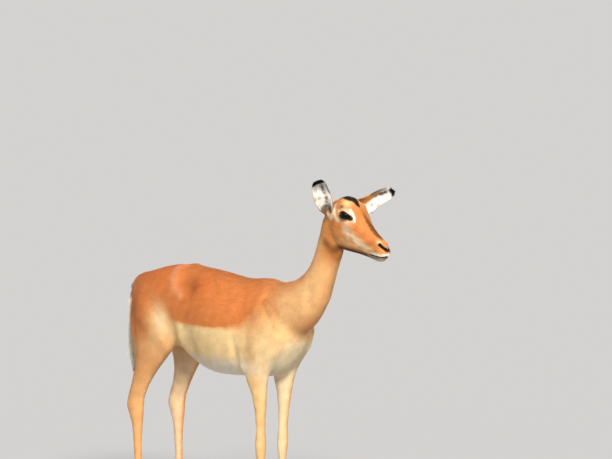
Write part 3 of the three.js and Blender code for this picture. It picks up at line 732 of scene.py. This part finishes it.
def paint_head(add, points, normals, near):
    face = facing(points)
    ahead, beside, up = face.T
    own = rise(-115, -50, ahead) * rise(-245, -170, up + 0.25 * np.maximum(ahead, 0))
    fine = ripple(points, 10, 4)
    upward = (normals @ HEAD_AXES.T) @ unit((0.75, 0, 0.66))
    add("face", own)

    def line(colour, places, width, share=1.0):
        distance = line_distance(face, places)[0] + 0.6 * fine
        add(colour, share * own * fall(width * 0.55, width * 1.2, distance))

    def band(colour, places, width, share):
        add(colour, share * own * bell(line_distance(face, places)[0], width))

    def spot(colour, centre, size, share, within=own):
        add(colour, share * within * hill(face, centre, size))

    # cheek and jaw, with a pale painted highlight low on the back of the jaw
    spot("rufous", (-6, 40, -96), (22, 20, 22), 0.30)
    spot("pale", (-2, 28, -138), (24, 20, 12), 0.35)
    spot("pale", (98, 22, -153), (14, 10, 7), 0.55)
    spot("cream", (32, 44, -95), (17, 20, 10), 0.40)
    band("rufous", CHEEK_RED, 13, 0.75)
    band("cream", CHEEK_BAND, 12, 0.75)
    spot("pale", (32, 24, -149), (30, 20, 8), 0.45)
    # painted shade along and under the jaw's lower edge, behind the jaw and under it at the throat
    band("brown", JAW_UNDER_SHADE, 12, 0.85)
    band("dark", JAW_EDGE_SHADE, 8.5, 0.90)
    band("brown", JAW_SHADE, 13, 0.80)
    spot("brown", (-18, 0, -186), (36, 45, 15), 0.62, 1)
    spot("brown", (100, 23, -140), (12, 10, 7), 0.30)
    band("brown", TEMPLE_SHADE, 8, 0.40)
    # forehead, crown and the brown bridge of the nose
    spot("pale", (17, 31, -27), (16, 16, 14), 0.90)
    spot("rufous", (45, 0, -45), (20, 12, 25), 0.55)
    wave = ripple(points, 24, 8)
    wide = BRIDGE["half"] + BRIDGE["wider"] * rise(50, 90, ahead)
    wide += wave - BRIDGE["narrower"] * rise(100, 130, ahead)
    bridge = rise(0.35, 0.75, upward) * fall(-3, 4, beside - wide + 0.8 * fine)
    add("brown", own * 0.92 * bridge * rise(36, 75, ahead) * fall(122, 134, ahead))
    half = CROWN_PATCH["half"] - CROWN_PATCH["narrower"] * rise(10, 32, ahead)
    patch = np.hypot((ahead - CROWN_PATCH["ahead"]) / CROWN_PATCH["long"], beside / half)
    add("black", own * 0.98 * fall(0.90, 1.06, patch + 0.08 * fine + 0.10 * wave) * (up > -40))
    # round the eye: pale stripes, a pale ring, black lids and black corners
    band("cream", EYE_UNDER, 4.6, 0.58)
    band("cream", EYE_OVER, 5.5, 0.42)
    band("cream", TEMPLE_STRIPE, 5.5, 0.95)
    line("snow", BROW_STRIPE, 4)
    line("snow", BROW_END, 3.2, 0.8)
    spot("brown", (6, 41, -36), (6.6, 12, 5.2), 0.95)
    lids, slit, lip = near["lids"], near["slit"], near["lip"]
    along, across, out = eye_places(points).T
    ring = rise(3, 4.2, lids) * fall(6, 10, lids + 0.6 * fine)
    add("cream", own * 0.65 * ring * (1 - 0.6 * rise(0, 8, across)))
    # muzzle
    above = over_mouth(face)[0]
    lip_white = rise(-0.5, 0.5, above) * fall(9.5, 13, above)
    add("white", own * rise(90, 112, ahead) * lip_white)
    add("grey", own * rise(75, 100, ahead) * rise(-1, 1, -above))
    add("white", own * 0.5 * rise(100, 120, ahead) * rise(5, 10, -above))
    spot("pale", (127, 19, -133), (8, 10, 6), 0.9)
    # bare, moist skin: lids, nostrils, the nose between them and the edge of the lips
    pad = fall(4.2, 5.8, line_distance(face, NOSE_PAD)[0] + 0.4 * fine)
    cleft = fall(1.6, 2.8, line_distance(face, PHILTRUM)[0])
    # each corner of the eye runs out to a point: the front one longer, the rear one short
    past = np.where(along > 0, along - CORNER["front"], -along - CORNER["rear"])
    reach = np.where(along > 0, CORNER["long"], CORNER["short"])
    wedge = fall(1.0, 2.4, np.abs(across + 0.4) - CORNER["half"] * (1 - past / reach))
    wedge *= (past > 0) * (past < reach) * (out > -4)
    bare = np.max([fall(1.6, 2.8, lids), fall(5, 6.6, slit), pad, cleft,
                   fall(1.8, 3.2, lip), wedge], axis=0) * (own > 0.5)
    add("skin", bare)
    return bare


EAR_STREAKS = [   # the hollow's dark streaks: place across, start and end along, and strength
    (0.35, 0.34, 0.62, 1.0), (0.14, 0.46, 0.62, 0.45), (0.72, 0.40, 0.60, 0.45),
    (-0.34, 0.25, 0.27, 0.8), (0.40, 0.17, 0.26, 0.9), (0.28, 0.07, 0.12, 0.9),
    (0.15, -0.08, -0.02, 1.0)]
EAR_TIPS = {"right": 0.70, "left": 0.825}      # where the black of the tip begins
EAR_SPOTS = {"right": (0.32, -0.78), "left": (0.45, -0.70)}    # an orange spot: along and across
EAR_RIMS = {"right": 0.3, "left": 0.1}         # how far the dark rim fades inside the hollow


def paint_ears(add, points, normals, names):
    hollow_share = np.zeros(len(points))
    fine = ripple(points, 11, 5)
    for side, ear in EARS.items():
        t, beside, out, hollow = ear.places(points, normals)
        own = ear_share(side, names, t, out)
        inside = own * hollow
        add("face", own * (1 - hollow))
        add("rufous", 0.5 * own * (1 - hollow) * rise(0.2, 0.7, t))
        add("snow", inside)
        add("grey", 0.45 * inside * fall(-0.10, 0.10, t))
        add("pale", 0.65 * inside * fall(-0.18, -0.04, t))
        if side == "right":                    # the edge by the neck lies in the shade
            shade = fall(-0.06, 0.05, t + 0.08 * beside) * fall(-0.05, 0.25, beside)
            add("brown", 0.75 * own * shade)
        shift = EAR_TIPS[side] - EAR_TIPS["right"]
        for place, low, high, share in EAR_STREAKS:
            low, high = (end + shift * rise(0.2, 0.4, end) for end in (low, high))
            streak = bell(beside - place + 0.12 * fine, 0.12 + 0.12 * share * t)
            streak *= rise(low - 0.03, low + 0.04, t) * fall(high, high + 0.07, t)
            add("dark", share * inside * streak * rise(-1.6, -0.1, fine))
        if side == "left":                     # its upper edge folds over and shows its back
            past = beside - 1.1 * np.maximum(t - 0.15, 0)
            add("face", inside * rise(-0.12, 0.12, past - 0.05 + 0.05 * fine) * fall(0.50, 0.60, t))
            # a dark line along the fold, painted shade under the folded edge
            fold_shade = bell(past - 0.10, 0.07) * rise(0.30, 0.42, t) * fall(0.60, 0.70, t)
            add("dark", 0.85 * inside * fold_shade)
        at, place = EAR_SPOTS[side]
        add("face", 0.8 * own * np.exp(-((t - at) / 0.05) ** 2 - ((beside - place) / 0.15) ** 2))
        rim = rise(0.60, 0.80, beside) * (1 - EAR_RIMS[side] * hollow) * rise(0.30, 0.42, t)
        add("black", own * 0.9 * rim)
        end = EAR_TIPS[side] + 0.05 * rise(0.3, 0.8, beside) - 0.016 * fine
        add("black", own * rise(-0.022, 0.022, t - end))
        hollow_share = np.maximum(hollow_share, inside)
    return hollow_share


# Along the cheek's hair and across it, and how strong its streaks are.
HAIR_LIE = unit([(-0.85, 0.0, 0.25), (0.0, 1.0, 0.0), (0.25, 0.0, 0.85)])
HAIR_STREAKS = 0.13


def markings(points, triangles, normals, names, near):
    """The coat's colour at each point, how bare it is, and 1 in the ears' hollows."""
    coat = np.tile(COLOURS["fawn"], (len(points), 1))

    def add(colour, share):
        blend(coat, COLOURS[colour], np.clip(share, 0, 1))

    leg = Ring(len(points), triangles).spread(is_kind(names, "leg") * 1.0, 30)
    paint_body(add, points, normals, names, leg)
    paint_legs(add, points, normals, names)
    paint_tail(add, points, normals, names)
    bare = paint_head(add, points, normals, near)
    hollow = paint_ears(add, points, normals, names)
    face = facing(points)
    hair = ripple((face @ HAIR_LIE.T) * (0.18, 1, 1) / MM, 7.5, 9)
    hair *= rise(-100, -40, face[:, 0]) * is_kind(names, "head")
    patches, grain = ripple(points, 35, 6), ripple(points * (0.3, 1, 1), 10, 7)
    coat *= (1 + 0.05 * patches + 0.03 * grain + HAIR_STREAKS * hair)[:, None]
    return coat, bare, hollow


# ------------------------------------------------------------ the coat's lie

COAT = {   # millimetres long and wide, and tufts to the square millimetre
    "trunk": (13.0, 1.30, 0.34), "neck": (11.0, 1.2, 0.42), "head": (6.0, 0.80, 1.20),
    "tail": (21.0, 1.5, 0.90), "ear": (3.6, 0.75, 0.95), "leg": (9.5, 1.15, 0.38),
}
SHANK, MUZZLE = (6.5, 0.95, 0.62), (3.4, 0.65, 1.25)           # finer coat, as above
LONG = dict(breast=17, hollow=7.0, tuft=15, coronet=12)        # longer coat, in millimetres
HOLLOW_WIDTH = 0.9                             # of the tufts in the ears' hollows


def lie_of_coat(points, normals, names):
    """The way the hair points at each place, before it is laid on the skin."""
    flow = np.tile(np.array((-1.0, 0.0, -0.35)), (len(points), 1))
    ahead, _, height = in_body(points).T
    blend(flow, (-0.6, 0, -0.9), fall(520, 660, height))
    blend(flow, (-0.66, 0, -0.75), rise(80, 200, ahead) * rise(600, 700, height))
    blend(flow, (-0.18, 0, -1.0), is_kind(names, "leg") * fall(500, 620, height))
    flow[is_kind(names, "tail")] = (-0.25, 0, -1)
    # on the head it runs back from the nose, down the cheek and down behind the jaw
    forward, _, up = facing(points).T
    way = np.tile(np.array((-0.70, 0.0, 0.55)), (len(points), 1))
    blend(way, (-0.9, 0.0, -0.25), rise(100, 160, -up - 0.25 * forward))
    blend(way, (-0.65, 0.0, -0.75), rise(-10, 50, -forward))
    blend(way, (-0.75, 0.0, -0.55), rise(95, 125, forward) * rise(150, 165, -up))
    head = is_kind(names, "head")
    flow[head] = (way @ HEAD_AXES)[head]
    for side, ear in EARS.items():
        t, _, out, _ = ear.places(points, normals)
        blend(flow, ear.tip, ear_share(side, names, t, out))
    return flow


def coat_fields(points, normals, names, depth, bare, hollow, near):
    """Length, width and rise of the tufts at each point, in metres, and how many to a square mm."""
    sizes = [np.zeros(len(points)) for _ in range(3)]
    for kind, wanted in COAT.items():
        for values, size in zip(sizes, wanted):
            values[is_kind(names, kind)] = size
    ahead, _, height = in_body(points).T
    leg = is_kind(names, "leg")
    muzzle = is_kind(names, "head") * rise(30, 120, facing(points)[:, 0])
    for share, wanted in ((leg * fall(300, 520, height), SHANK), (muzzle, MUZZLE)):
        for values, size in zip(sizes, wanted):
            blend(values, size, share)
    length, width, density = sizes
    blend(length, LONG["breast"], rise(20, 80, ahead) * fall(520, 600, height) * ~leg)
    blend(length, LONG["hollow"], hollow)
    blend(width, HOLLOW_WIDTH, hollow)
    tuft = is_kind(names, "leg_hind") * rise(100, 125, height) * fall(160, 180, height)
    tuft *= rise(-0.1, 0.5, -normals[:, 0])
    blend(length, LONG["tuft"], tuft)
    coronet = leg * fall(52, 68, height)
    blend(length, LONG["coronet"], coronet)
    opening = np.min([near["lids"] - 2, near["slit"] - 2, near["lip"] - 1], axis=0)
    length *= 0.35 + 0.65 * rise(0, 8, opening)
    lift = depth * (1 + 1.5 * hollow + 2.2 * tuft + 1.2 * coronet) * (1 - 0.4 * is_kind(names, "tail"))
    density *= fall(0.25, 0.6, bare)
    return length / MM, width / MM, lift / MM, density


def unwrapped(places, axis, up):
    """Each place on a sheet wrapped round the piece: how far round it and how far along."""
    along = places @ axis
    beside = np.cross(axis, up)
    steps = np.linspace(along.min(), along.max(), 16)
    reach = np.ptp(along) / 12 + 0.002
    near = [places[np.abs(along - step) < reach] for step in steps]
    mid = [[((p @ way).min() + (p @ way).max()) / 2 for way in (beside, up)] for p in near]
    off = np.stack([places @ beside, places @ up], axis=1)
    off -= np.stack([np.interp(along, steps, [m[k] for m in mid]) for k in range(2)], axis=1)
    round_share = np.arctan2(off[:, 0], off[:, 1]) / (2 * np.pi) + 0.5
    return np.stack([round_share, (along - along.min()) / np.ptp(along)], axis=1)


PATCH, MARGIN = 0.003, 0.03                    # of the OFBake map: for each tuft, and round the edge
EAR_SHEET = 0.48                               # of the map, for the back of an ear; its hollow as much
TUFT_FACES = np.array([(2, 0, 3), (2, 3, 1), (0, 1, 3)])       # of left, right, root and tip
TUFT_PLACES = np.array([(-0.5, -0.1), (0.5, -0.1), (0.0, -0.5), (0.0, 0.5)])
# each tuft darker at its root and lighter at its tip: painted shade and painted highlight along it
TUFT_SHADE = np.array([0.98, 0.98, 0.86, 1.06])[None, :, None]
WIDEST, SINK = 0.36, 0.00006           # a tuft's widest place along it, and its root's depth in metres
TURN, BEND, WARM = 0.16, 0.07, 0.03            # how much the tufts differ in these
LONGER, WIDER, HIGHER, LIGHTER = (0.72, 1.18), (0.8, 1.25), (0.55, 1.12), (0.91, 1.09)


def grow(name, triangles, fields, material, slot, axis, up):
    """One piece of coat: a mesh of tufts rooted all over these triangles of the skin."""
    area = areas(fields["point"], triangles)
    total = np.cumsum(area * 1e6 * fields["density"][triangles].mean(1))
    count = int(total[-1])
    picked = np.searchsorted(total, (np.arange(count) + RANDOM.random(count)) * (total[-1] / count))
    corners = triangles[np.minimum(picked, len(triangles) - 1)]
    far, turn = np.sqrt(RANDOM.random(count)), RANDOM.random(count)
    weights = np.stack([1 - far, far * (1 - turn), far * turn], axis=1)

    def at(field):
        values = fields[field][corners]
        return (values * (weights if values.ndim == 2 else weights[..., None])).sum(1)

    root, normal, flow = at("point"), unit(at("normal")), at("flow")
    flow = unit(flow - normal * (flow * normal).sum(1)[:, None])
    side = np.cross(normal, flow)
    turn = RANDOM.normal(0, TURN, count)[:, None]
    flow, side = flow * np.cos(turn) + side * np.sin(turn), side * np.cos(turn) - flow * np.sin(turn)
    length = (at("length") * RANDOM.uniform(*LONGER, count))[:, None]
    half = (at("width") * RANDOM.uniform(*WIDER, count))[:, None] / 2
    lift = (at("lift") * RANDOM.uniform(*HIGHER, count))[:, None]
    bend = RANDOM.normal(0, BEND, count)[:, None]
    shoulder = root + flow * WIDEST * length + normal * (WIDEST * (lift + SINK) - SINK - 0.30 * half)
    tip = root + (flow + side * bend) * length + normal * lift
    points = np.stack([shoulder - side * half, shoulder + side * half, root - normal * SINK, tip], axis=1)
    faces = (TUFT_FACES[None] + 4 * np.arange(count)[:, None, None]).reshape(-1, 3)
    made = new_object(name, points.reshape(-1, 3), faces)
    looks = np.stack([normal - 0.25 * side, normal + 0.25 * side, normal, normal + 0.15 * flow], axis=1)
    set_values(made.data, "custom_normal", "FLOAT_VECTOR", "vector", unit(looks))
    shade = TUFT_SHADE * RANDOM.uniform(*LIGHTER, (count, 1, 1))
    warm = RANDOM.normal(0, WARM, (count, 1, 1)) * np.array([-0.2, 0.2, 1.0])
    tint = np.clip(at("tint")[:, None] * shade * (1 + warm), 0, 1)
    set_tint(made.data, tint.reshape(-1, 3))
    sheet = unwrapped(root, axis, up)
    if slot == "ear_coat":                     # the hollow and the back lie side by side
        sheet[:, 0] = sheet[:, 0] * EAR_SHEET + (1 - EAR_SHEET) * (at("hollow") > 0.5)
    patch = (MARGIN + (1 - 2 * MARGIN) * sheet)[:, None] + PATCH * TUFT_PLACES
    uv = patch.reshape(-1, 2)[faces.ravel()]
    made.data.uv_layers.new(name="OFBake").data.foreach_set("uv", uv.astype(np.float32).ravel())
    made.data.materials.append(material)
    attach(made, "root")


def areas(points, triangles):
    a, b, c = (points[triangles[:, k]] for k in range(3))
    return np.linalg.norm(np.cross(b - a, c - a), axis=1) / 2


def set_values(mesh, name, kind, field, values):
    """A value of the mesh at each of its points."""
    data = mesh.attributes.new(name, kind, "POINT").data
    data.foreach_set(field, np.asarray(values, np.float32).ravel())


def set_tint(mesh, tint):
    set_values(mesh, "tint", "FLOAT_COLOR", "color", np.column_stack([tint, np.ones(len(tint))]))


# ------------------------------------------------------------ materials


class Look:
    """A material with a Principled shader, and short ways to add nodes to it."""

    def __init__(self, name, **sockets):
        self.material = bpy.data.materials.new(name)
        self.material.use_nodes = True
        self.tree = self.material.node_tree
        self.shader = self.tree.nodes["Principled BSDF"]
        for socket, value in sockets.items():
            self.shader.inputs[socket.replace("_", " ").title().replace("Ior", "IOR")].default_value = value

    def node(self, kind, **inputs):
        made = self.tree.nodes.new(kind)
        for socket, value in inputs.items():
            socket = made.inputs[socket.replace("_", " ").title()]
            if isinstance(value, bpy.types.NodeSocket):
                self.tree.links.new(value, socket)
            else:
                socket.default_value = value
        return made

    def link(self, output, socket):
        self.tree.links.new(output, self.shader.inputs[socket])

    def place(self):
        return self.node("ShaderNodeTexCoord").outputs["Object"]

    def noise(self, scale, detail=3.0, place=None):
        made = self.node("ShaderNodeTexNoise", vector=place or self.place(), scale=scale, detail=detail)
        return made.outputs["Fac"]

    def wandering(self, scale, low, high):
        """A value that wanders between two others over the surface."""
        made = self.node("ShaderNodeMapRange", value=self.noise(scale))
        made.inputs["To Min"].default_value = low
        made.inputs["To Max"].default_value = high
        return made.outputs["Result"]

    def attribute(self, name, output):
        made = self.node("ShaderNodeAttribute")
        made.attribute_name = name
        return made.outputs[output]

    def tinted(self, scale, low, high):
        """The mesh's tint, lighter and darker in patches."""
        mix = self.node("ShaderNodeVectorMath")
        mix.operation = "SCALE"
        self.tree.links.new(self.attribute("tint", "Color"), mix.inputs[0])
        self.tree.links.new(self.wandering(scale, low, high), mix.inputs["Scale"])
        self.link(mix.outputs["Vector"], "Base Color")

    def bump(self, height, strength, distance):
        made = self.node("ShaderNodeBump", height=height, strength=strength, distance=distance)
        self.link(made.outputs["Normal"], "Normal")


def coat_look():
    look = Look("coat", sheen_weight=0.02, sheen_roughness=0.5, specular_ior_level=0.12)
    look.tinted(38.0, 0.86, 1.14)
    look.link(look.wandering(160.0, 0.52, 0.76), "Roughness")
    look.bump(look.noise(900.0), 0.25, 0.0004)
    return look.material


def skin_look():
    """The coat's colours between the tufts, and moist where the skin is bare."""
    look = Look("skin", specular_ior_level=0.28)
    look.tinted(38.0, 0.86, 1.14)
    mix = look.node("ShaderNodeMix")
    mix.data_type = "FLOAT"
    dry, wet = look.wandering(300.0, 0.55, 0.80), look.wandering(420.0, 0.20, 0.38)
    for output, socket in ((look.attribute("moist", "Fac"), 0), (dry, 2), (wet, 3)):
        look.tree.links.new(output, mix.inputs[socket])
    look.link(mix.outputs[0], "Roughness")
    look.bump(look.noise(1100.0, 2.0), 0.5, 0.0006)
    return look.material


def eye_look():
    look = Look("eye", specular_ior_level=0.14)
    look.tinted(700.0, 0.7, 1.3)
    look.link(look.wandering(90.0, 0.03, 0.08), "Roughness")
    return look.material


def horn_look():
    look = Look("horn", specular_ior_level=0.5)
    squeeze = look.node("ShaderNodeMapping", vector=look.place(), scale=(60.0, 60.0, 520.0))
    rings = look.noise(1.0, 4.0, squeeze.outputs["Vector"])
    ramp = look.node("ShaderNodeValToRGB", fac=rings)
    ramp.color_ramp.elements[0].color = (0.010, 0.008, 0.007, 1)
    ramp.color_ramp.elements[1].color = (0.055, 0.040, 0.030, 1)
    look.link(ramp.outputs["Color"], "Base Color")
    look.link(look.wandering(200.0, 0.28, 0.50), "Roughness")
    look.bump(rings, 0.45, 0.0005)
    return look.material


# ------------------------------------------------------------ skin and coat

UP, AHEAD = np.array((0.0, 0.0, 1.0)), np.array((1.0, 0.0, 0.0))
LIMIT = 190000                                 # triangles in a piece of coat
COVERED = 0.86                                 # the skin's tint under the coat


def axes_of(node):
    """The way a part runs and a way across it, for wrapping its sheet."""
    if node == "trunk":
        return AHEAD, UP
    if node == "head":
        return unit(HEAD_AHEAD - UP), HEAD_LEFT
    if node.startswith("ear"):
        ear = EARS[node.split("_")[1]]
        return ear.tip, ear.opening
    return UP, AHEAD


def skin_piece(points, triangles, tint, bare):
    skin = new_object("skin", points, triangles)
    set_tint(skin.data, np.clip(tint * (COVERED + (1 - COVERED) * bare[:, None]), 0, 1))
    set_values(skin.data, "moist", "FLOAT", "value", bare)
    skin.data.materials.append(skin_look())
    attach(skin, "root")
    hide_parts(*FLESH)


def whole_coat(fields, triangles, names):
    """Tufts all over the skin, in pieces by the part of the body."""
    material = coat_look()
    owner = names[triangles[:, 0]]
    middles = fields["point"][triangles].mean(1)
    expected = areas(fields["point"], triangles) * 1e6 * fields["density"][triangles].mean(1)
    for node in FLESH:
        own = owner == node
        axis, up = axes_of(node)
        slot = {"tail": "tail_coat", "ear": "ear_coat"}.get(node.split("_")[0], "coat")
        parts = math.ceil(expected[own].sum() * len(TUFT_FACES) / LIMIT)
        order = np.argsort(middles[own] @ axis, kind="stable")
        where = np.cumsum(expected[own][order])
        cuts = np.searchsorted(where, where[-1] * np.arange(1, parts) / parts)
        for k, piece in enumerate(np.split(np.flatnonzero(own)[order], cuts)):
            name = "coat_" + node + ("" if parts == 1 else "_%d" % (k + 1))
            grow(name, triangles[np.sort(piece)], fields, material, slot, axis, up)


def skin_and_coat():
    points, triangles, names, depth, near = skin_form()
    normals = normals_of(points, triangles)
    tint, bare, hollow = markings(points, triangles, normals, names, near)
    skin_piece(points, triangles, tint, bare)
    ring = Ring(len(points), triangles)
    sizes = coat_fields(points, normals, names, depth, bare, hollow, near)
    length, width, lift, density = (ring.spread(size, 3) for size in sizes)
    density[bare > 0.5] = 0
    flow = ring.spread(unit(lie_of_coat(points, normals, names)), 25)
    whole_coat(dict(point=points, normal=normals, flow=flow, length=length, width=width, lift=lift,
                    density=density, tint=tint, hollow=hollow), triangles, names)


skin_and_coat()

# ------------------------------------------------------------ eyes and hooves

# Sizes on the eyeball are in millimetres, but the bulge's width is a share of the radius.
BALL = dict(rows=44, columns=64, crowding=1.25, bulge=0.7, bulge_wide=0.13)
IRIS = dict(inner=11.8, outer=12.8, tint=(0.005, 0.0024, 0.0014))
PUPIL = dict(long=8.5, tall=4.2, tint=(0.001, 0.001, 0.001))
BALL_TINT = (0.005, 0.003, 0.002)
CLAW = dict(sharp=math.radians(48), crease=0.8, levels=3)      # edges sharper than this stay crisp


def ball(rows, columns, crowding):
    """The places and faces of a ball of radius one, its rows closer together in front."""
    out = np.pi * (np.arange(1, rows) / rows) ** crowding
    turn = 2 * np.pi * np.arange(columns) / columns
    rings = np.stack([np.outer(np.sin(out), np.cos(turn)), np.outer(np.sin(out), np.sin(turn)),
                      np.outer(np.cos(out), np.ones(columns))], axis=2).reshape(-1, 3)
    places = np.concatenate([rings, [(0, 0, 1), (0, 0, -1)]])
    last = (rows - 2) * columns
    row, column = np.divmod(np.arange(last), columns)
    a, b = row * columns + column, row * columns + (column + 1) % columns
    c, d = a + columns, b + columns
    j = np.arange(columns)
    top, bottom = np.full(columns, len(rings)), np.full(columns, len(rings) + 1)
    faces = ((a, c, d), (a, d, b), (top, j, (j + 1) % columns), (bottom, last + (j + 1) % columns, last + j))
    return places, np.concatenate([np.stack(face, 1) for face in faces])


def eyeball(side, material):
    """A finer eye, with a clear bulge, a broad level pupil and a dark iris."""
    places, faces = ball(BALL["rows"], BALL["columns"], BALL["crowding"])
    axes = eye_axes(SIDES[side]) @ HEAD_AXES
    bulge = BALL["bulge"] * bell(1 - places[:, 2], BALL["bulge_wide"])
    points = middle("eye_" + side) + places @ axes * (EYE_RADIUS + bulge)[:, None] / MM
    made = new_object("eyeball_" + side, points, faces)
    across = places[:, :2] * EYE_RADIUS
    tint = np.tile(BALL_TINT, (len(places), 1))
    blend(tint, IRIS["tint"], fall(IRIS["inner"], IRIS["outer"], np.linalg.norm(across, axis=1)))
    blend(tint, PUPIL["tint"], fall(0.85, 1.05, np.hypot(*(across / (PUPIL["long"], PUPIL["tall"])).T)))
    set_tint(made.data, tint)
    made.data.materials.append(material)
    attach(made, "root")
    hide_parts("eye_" + side)


def horn(node, material):
    """A rounder claw, its sole still flat and its lower edge crisp."""
    made = new_object(node + "_horn", *triangles_of(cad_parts[node].data))
    shape = bmesh.new()
    shape.from_mesh(made.data)
    bmesh.ops.remove_doubles(shape, verts=shape.verts, dist=1e-6)
    crease = shape.edges.layers.float.new("crease_edge")
    for edge in shape.edges:
        if len(edge.link_faces) == 2 and edge.calc_face_angle() > CLAW["sharp"]:
            edge[crease] = CLAW["crease"]
    shape.to_mesh(made.data)
    shape.free()
    fine = made.modifiers.new("fine", "SUBSURF")
    fine.levels = fine.render_levels = CLAW["levels"]
    mesh = bpy.data.meshes.new_from_object(made.evaluated_get(bpy.context.evaluated_depsgraph_get()))
    made.modifiers.clear()
    made.data = mesh
    mesh.materials.clear()
    mesh.materials.append(material)
    mesh.polygons.foreach_set("use_smooth", np.ones(len(mesh.polygons), bool))
    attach(made, "root")
    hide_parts(node)


eye_material, horn_material = eye_look(), horn_look()
for side in SIDES:
    eyeball(side, eye_material)
for node in sorted(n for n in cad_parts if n.startswith("hoof")):
    horn(node, horn_material)

# ------------------------------------------------------------ camera, light and floor

# The camera's turn and height in degrees, its distance and the width of its view at the animal,
# and the place it looks at, right of and above the withers in its own picture.
CAMERA = dict(turn=44, lift=6, distance=20.0, field=1.836, right=0.114, up=0.1425)
WITHERS_HEIGHT = 0.780
KEY = dict(toward=(0.74, -0.58, 0.58), strength=4.6, spread=14, colour=(1.0, 0.95, 0.87))
ROOM = dict(colour=(0.82, 0.83, 0.85, 1), strength=0.78)
FLOOR = dict(half=150.0, colour=(0.470, 0.470, 0.475, 1), roughness=0.9)


def view_camera():
    """A long lens from the animal's right and front, a little above its back."""
    turn, lift = math.radians(CAMERA["turn"]), math.radians(CAMERA["lift"])
    ahead = Vector((-math.sin(turn) * math.cos(lift), math.cos(turn) * math.cos(lift), -math.sin(lift)))
    right = Vector((math.cos(turn), math.sin(turn), 0))
    target = Vector((WITHERS[0], WITHERS[1], WITHERS_HEIGHT))
    target += right * CAMERA["right"] + right.cross(ahead) * CAMERA["up"]
    data = bpy.data.cameras.new("camera")
    data.sensor_width = 36
    data.lens = data.sensor_width * CAMERA["distance"] / CAMERA["field"]
    data.clip_end = 500
    camera = bpy.data.objects.new("camera", data)
    camera.location = target - ahead * CAMERA["distance"]
    camera.rotation_euler = ahead.to_track_quat("-Z", "Y").to_euler()
    bpy.context.scene.collection.objects.link(camera)
    bpy.context.scene.camera = camera


def key_light():
    """An even, soft light that comes from one side of the room."""
    data = bpy.data.lights.new("key", "SUN")
    data.energy = KEY["strength"]
    data.angle = math.radians(KEY["spread"])
    data.color = KEY["colour"]
    made = bpy.data.objects.new("key", data)
    made.rotation_euler = (-Vector(KEY["toward"])).to_track_quat("-Z", "Y").to_euler()
    bpy.context.scene.collection.objects.link(made)


def room():
    world = bpy.data.worlds.new("studio")
    world.use_nodes = True
    background = world.node_tree.nodes["Background"]
    background.inputs["Color"].default_value = ROOM["colour"]
    background.inputs["Strength"].default_value = ROOM["strength"]
    bpy.context.scene.world = world
    bpy.context.scene.view_settings.view_transform = "Standard"
    half = FLOOR["half"]
    floor = new_object("floor", [(-half, -half, 0), (half, -half, 0), (half, half, 0), (-half, half, 0)],
                       [(0, 1, 2), (0, 2, 3)], smooth=False)
    stone = Look("floor", base_color=FLOOR["colour"], specular_ior_level=0.0, roughness=FLOOR["roughness"])
    floor.data.materials.append(stone.material)


view_camera()
key_light()
room()
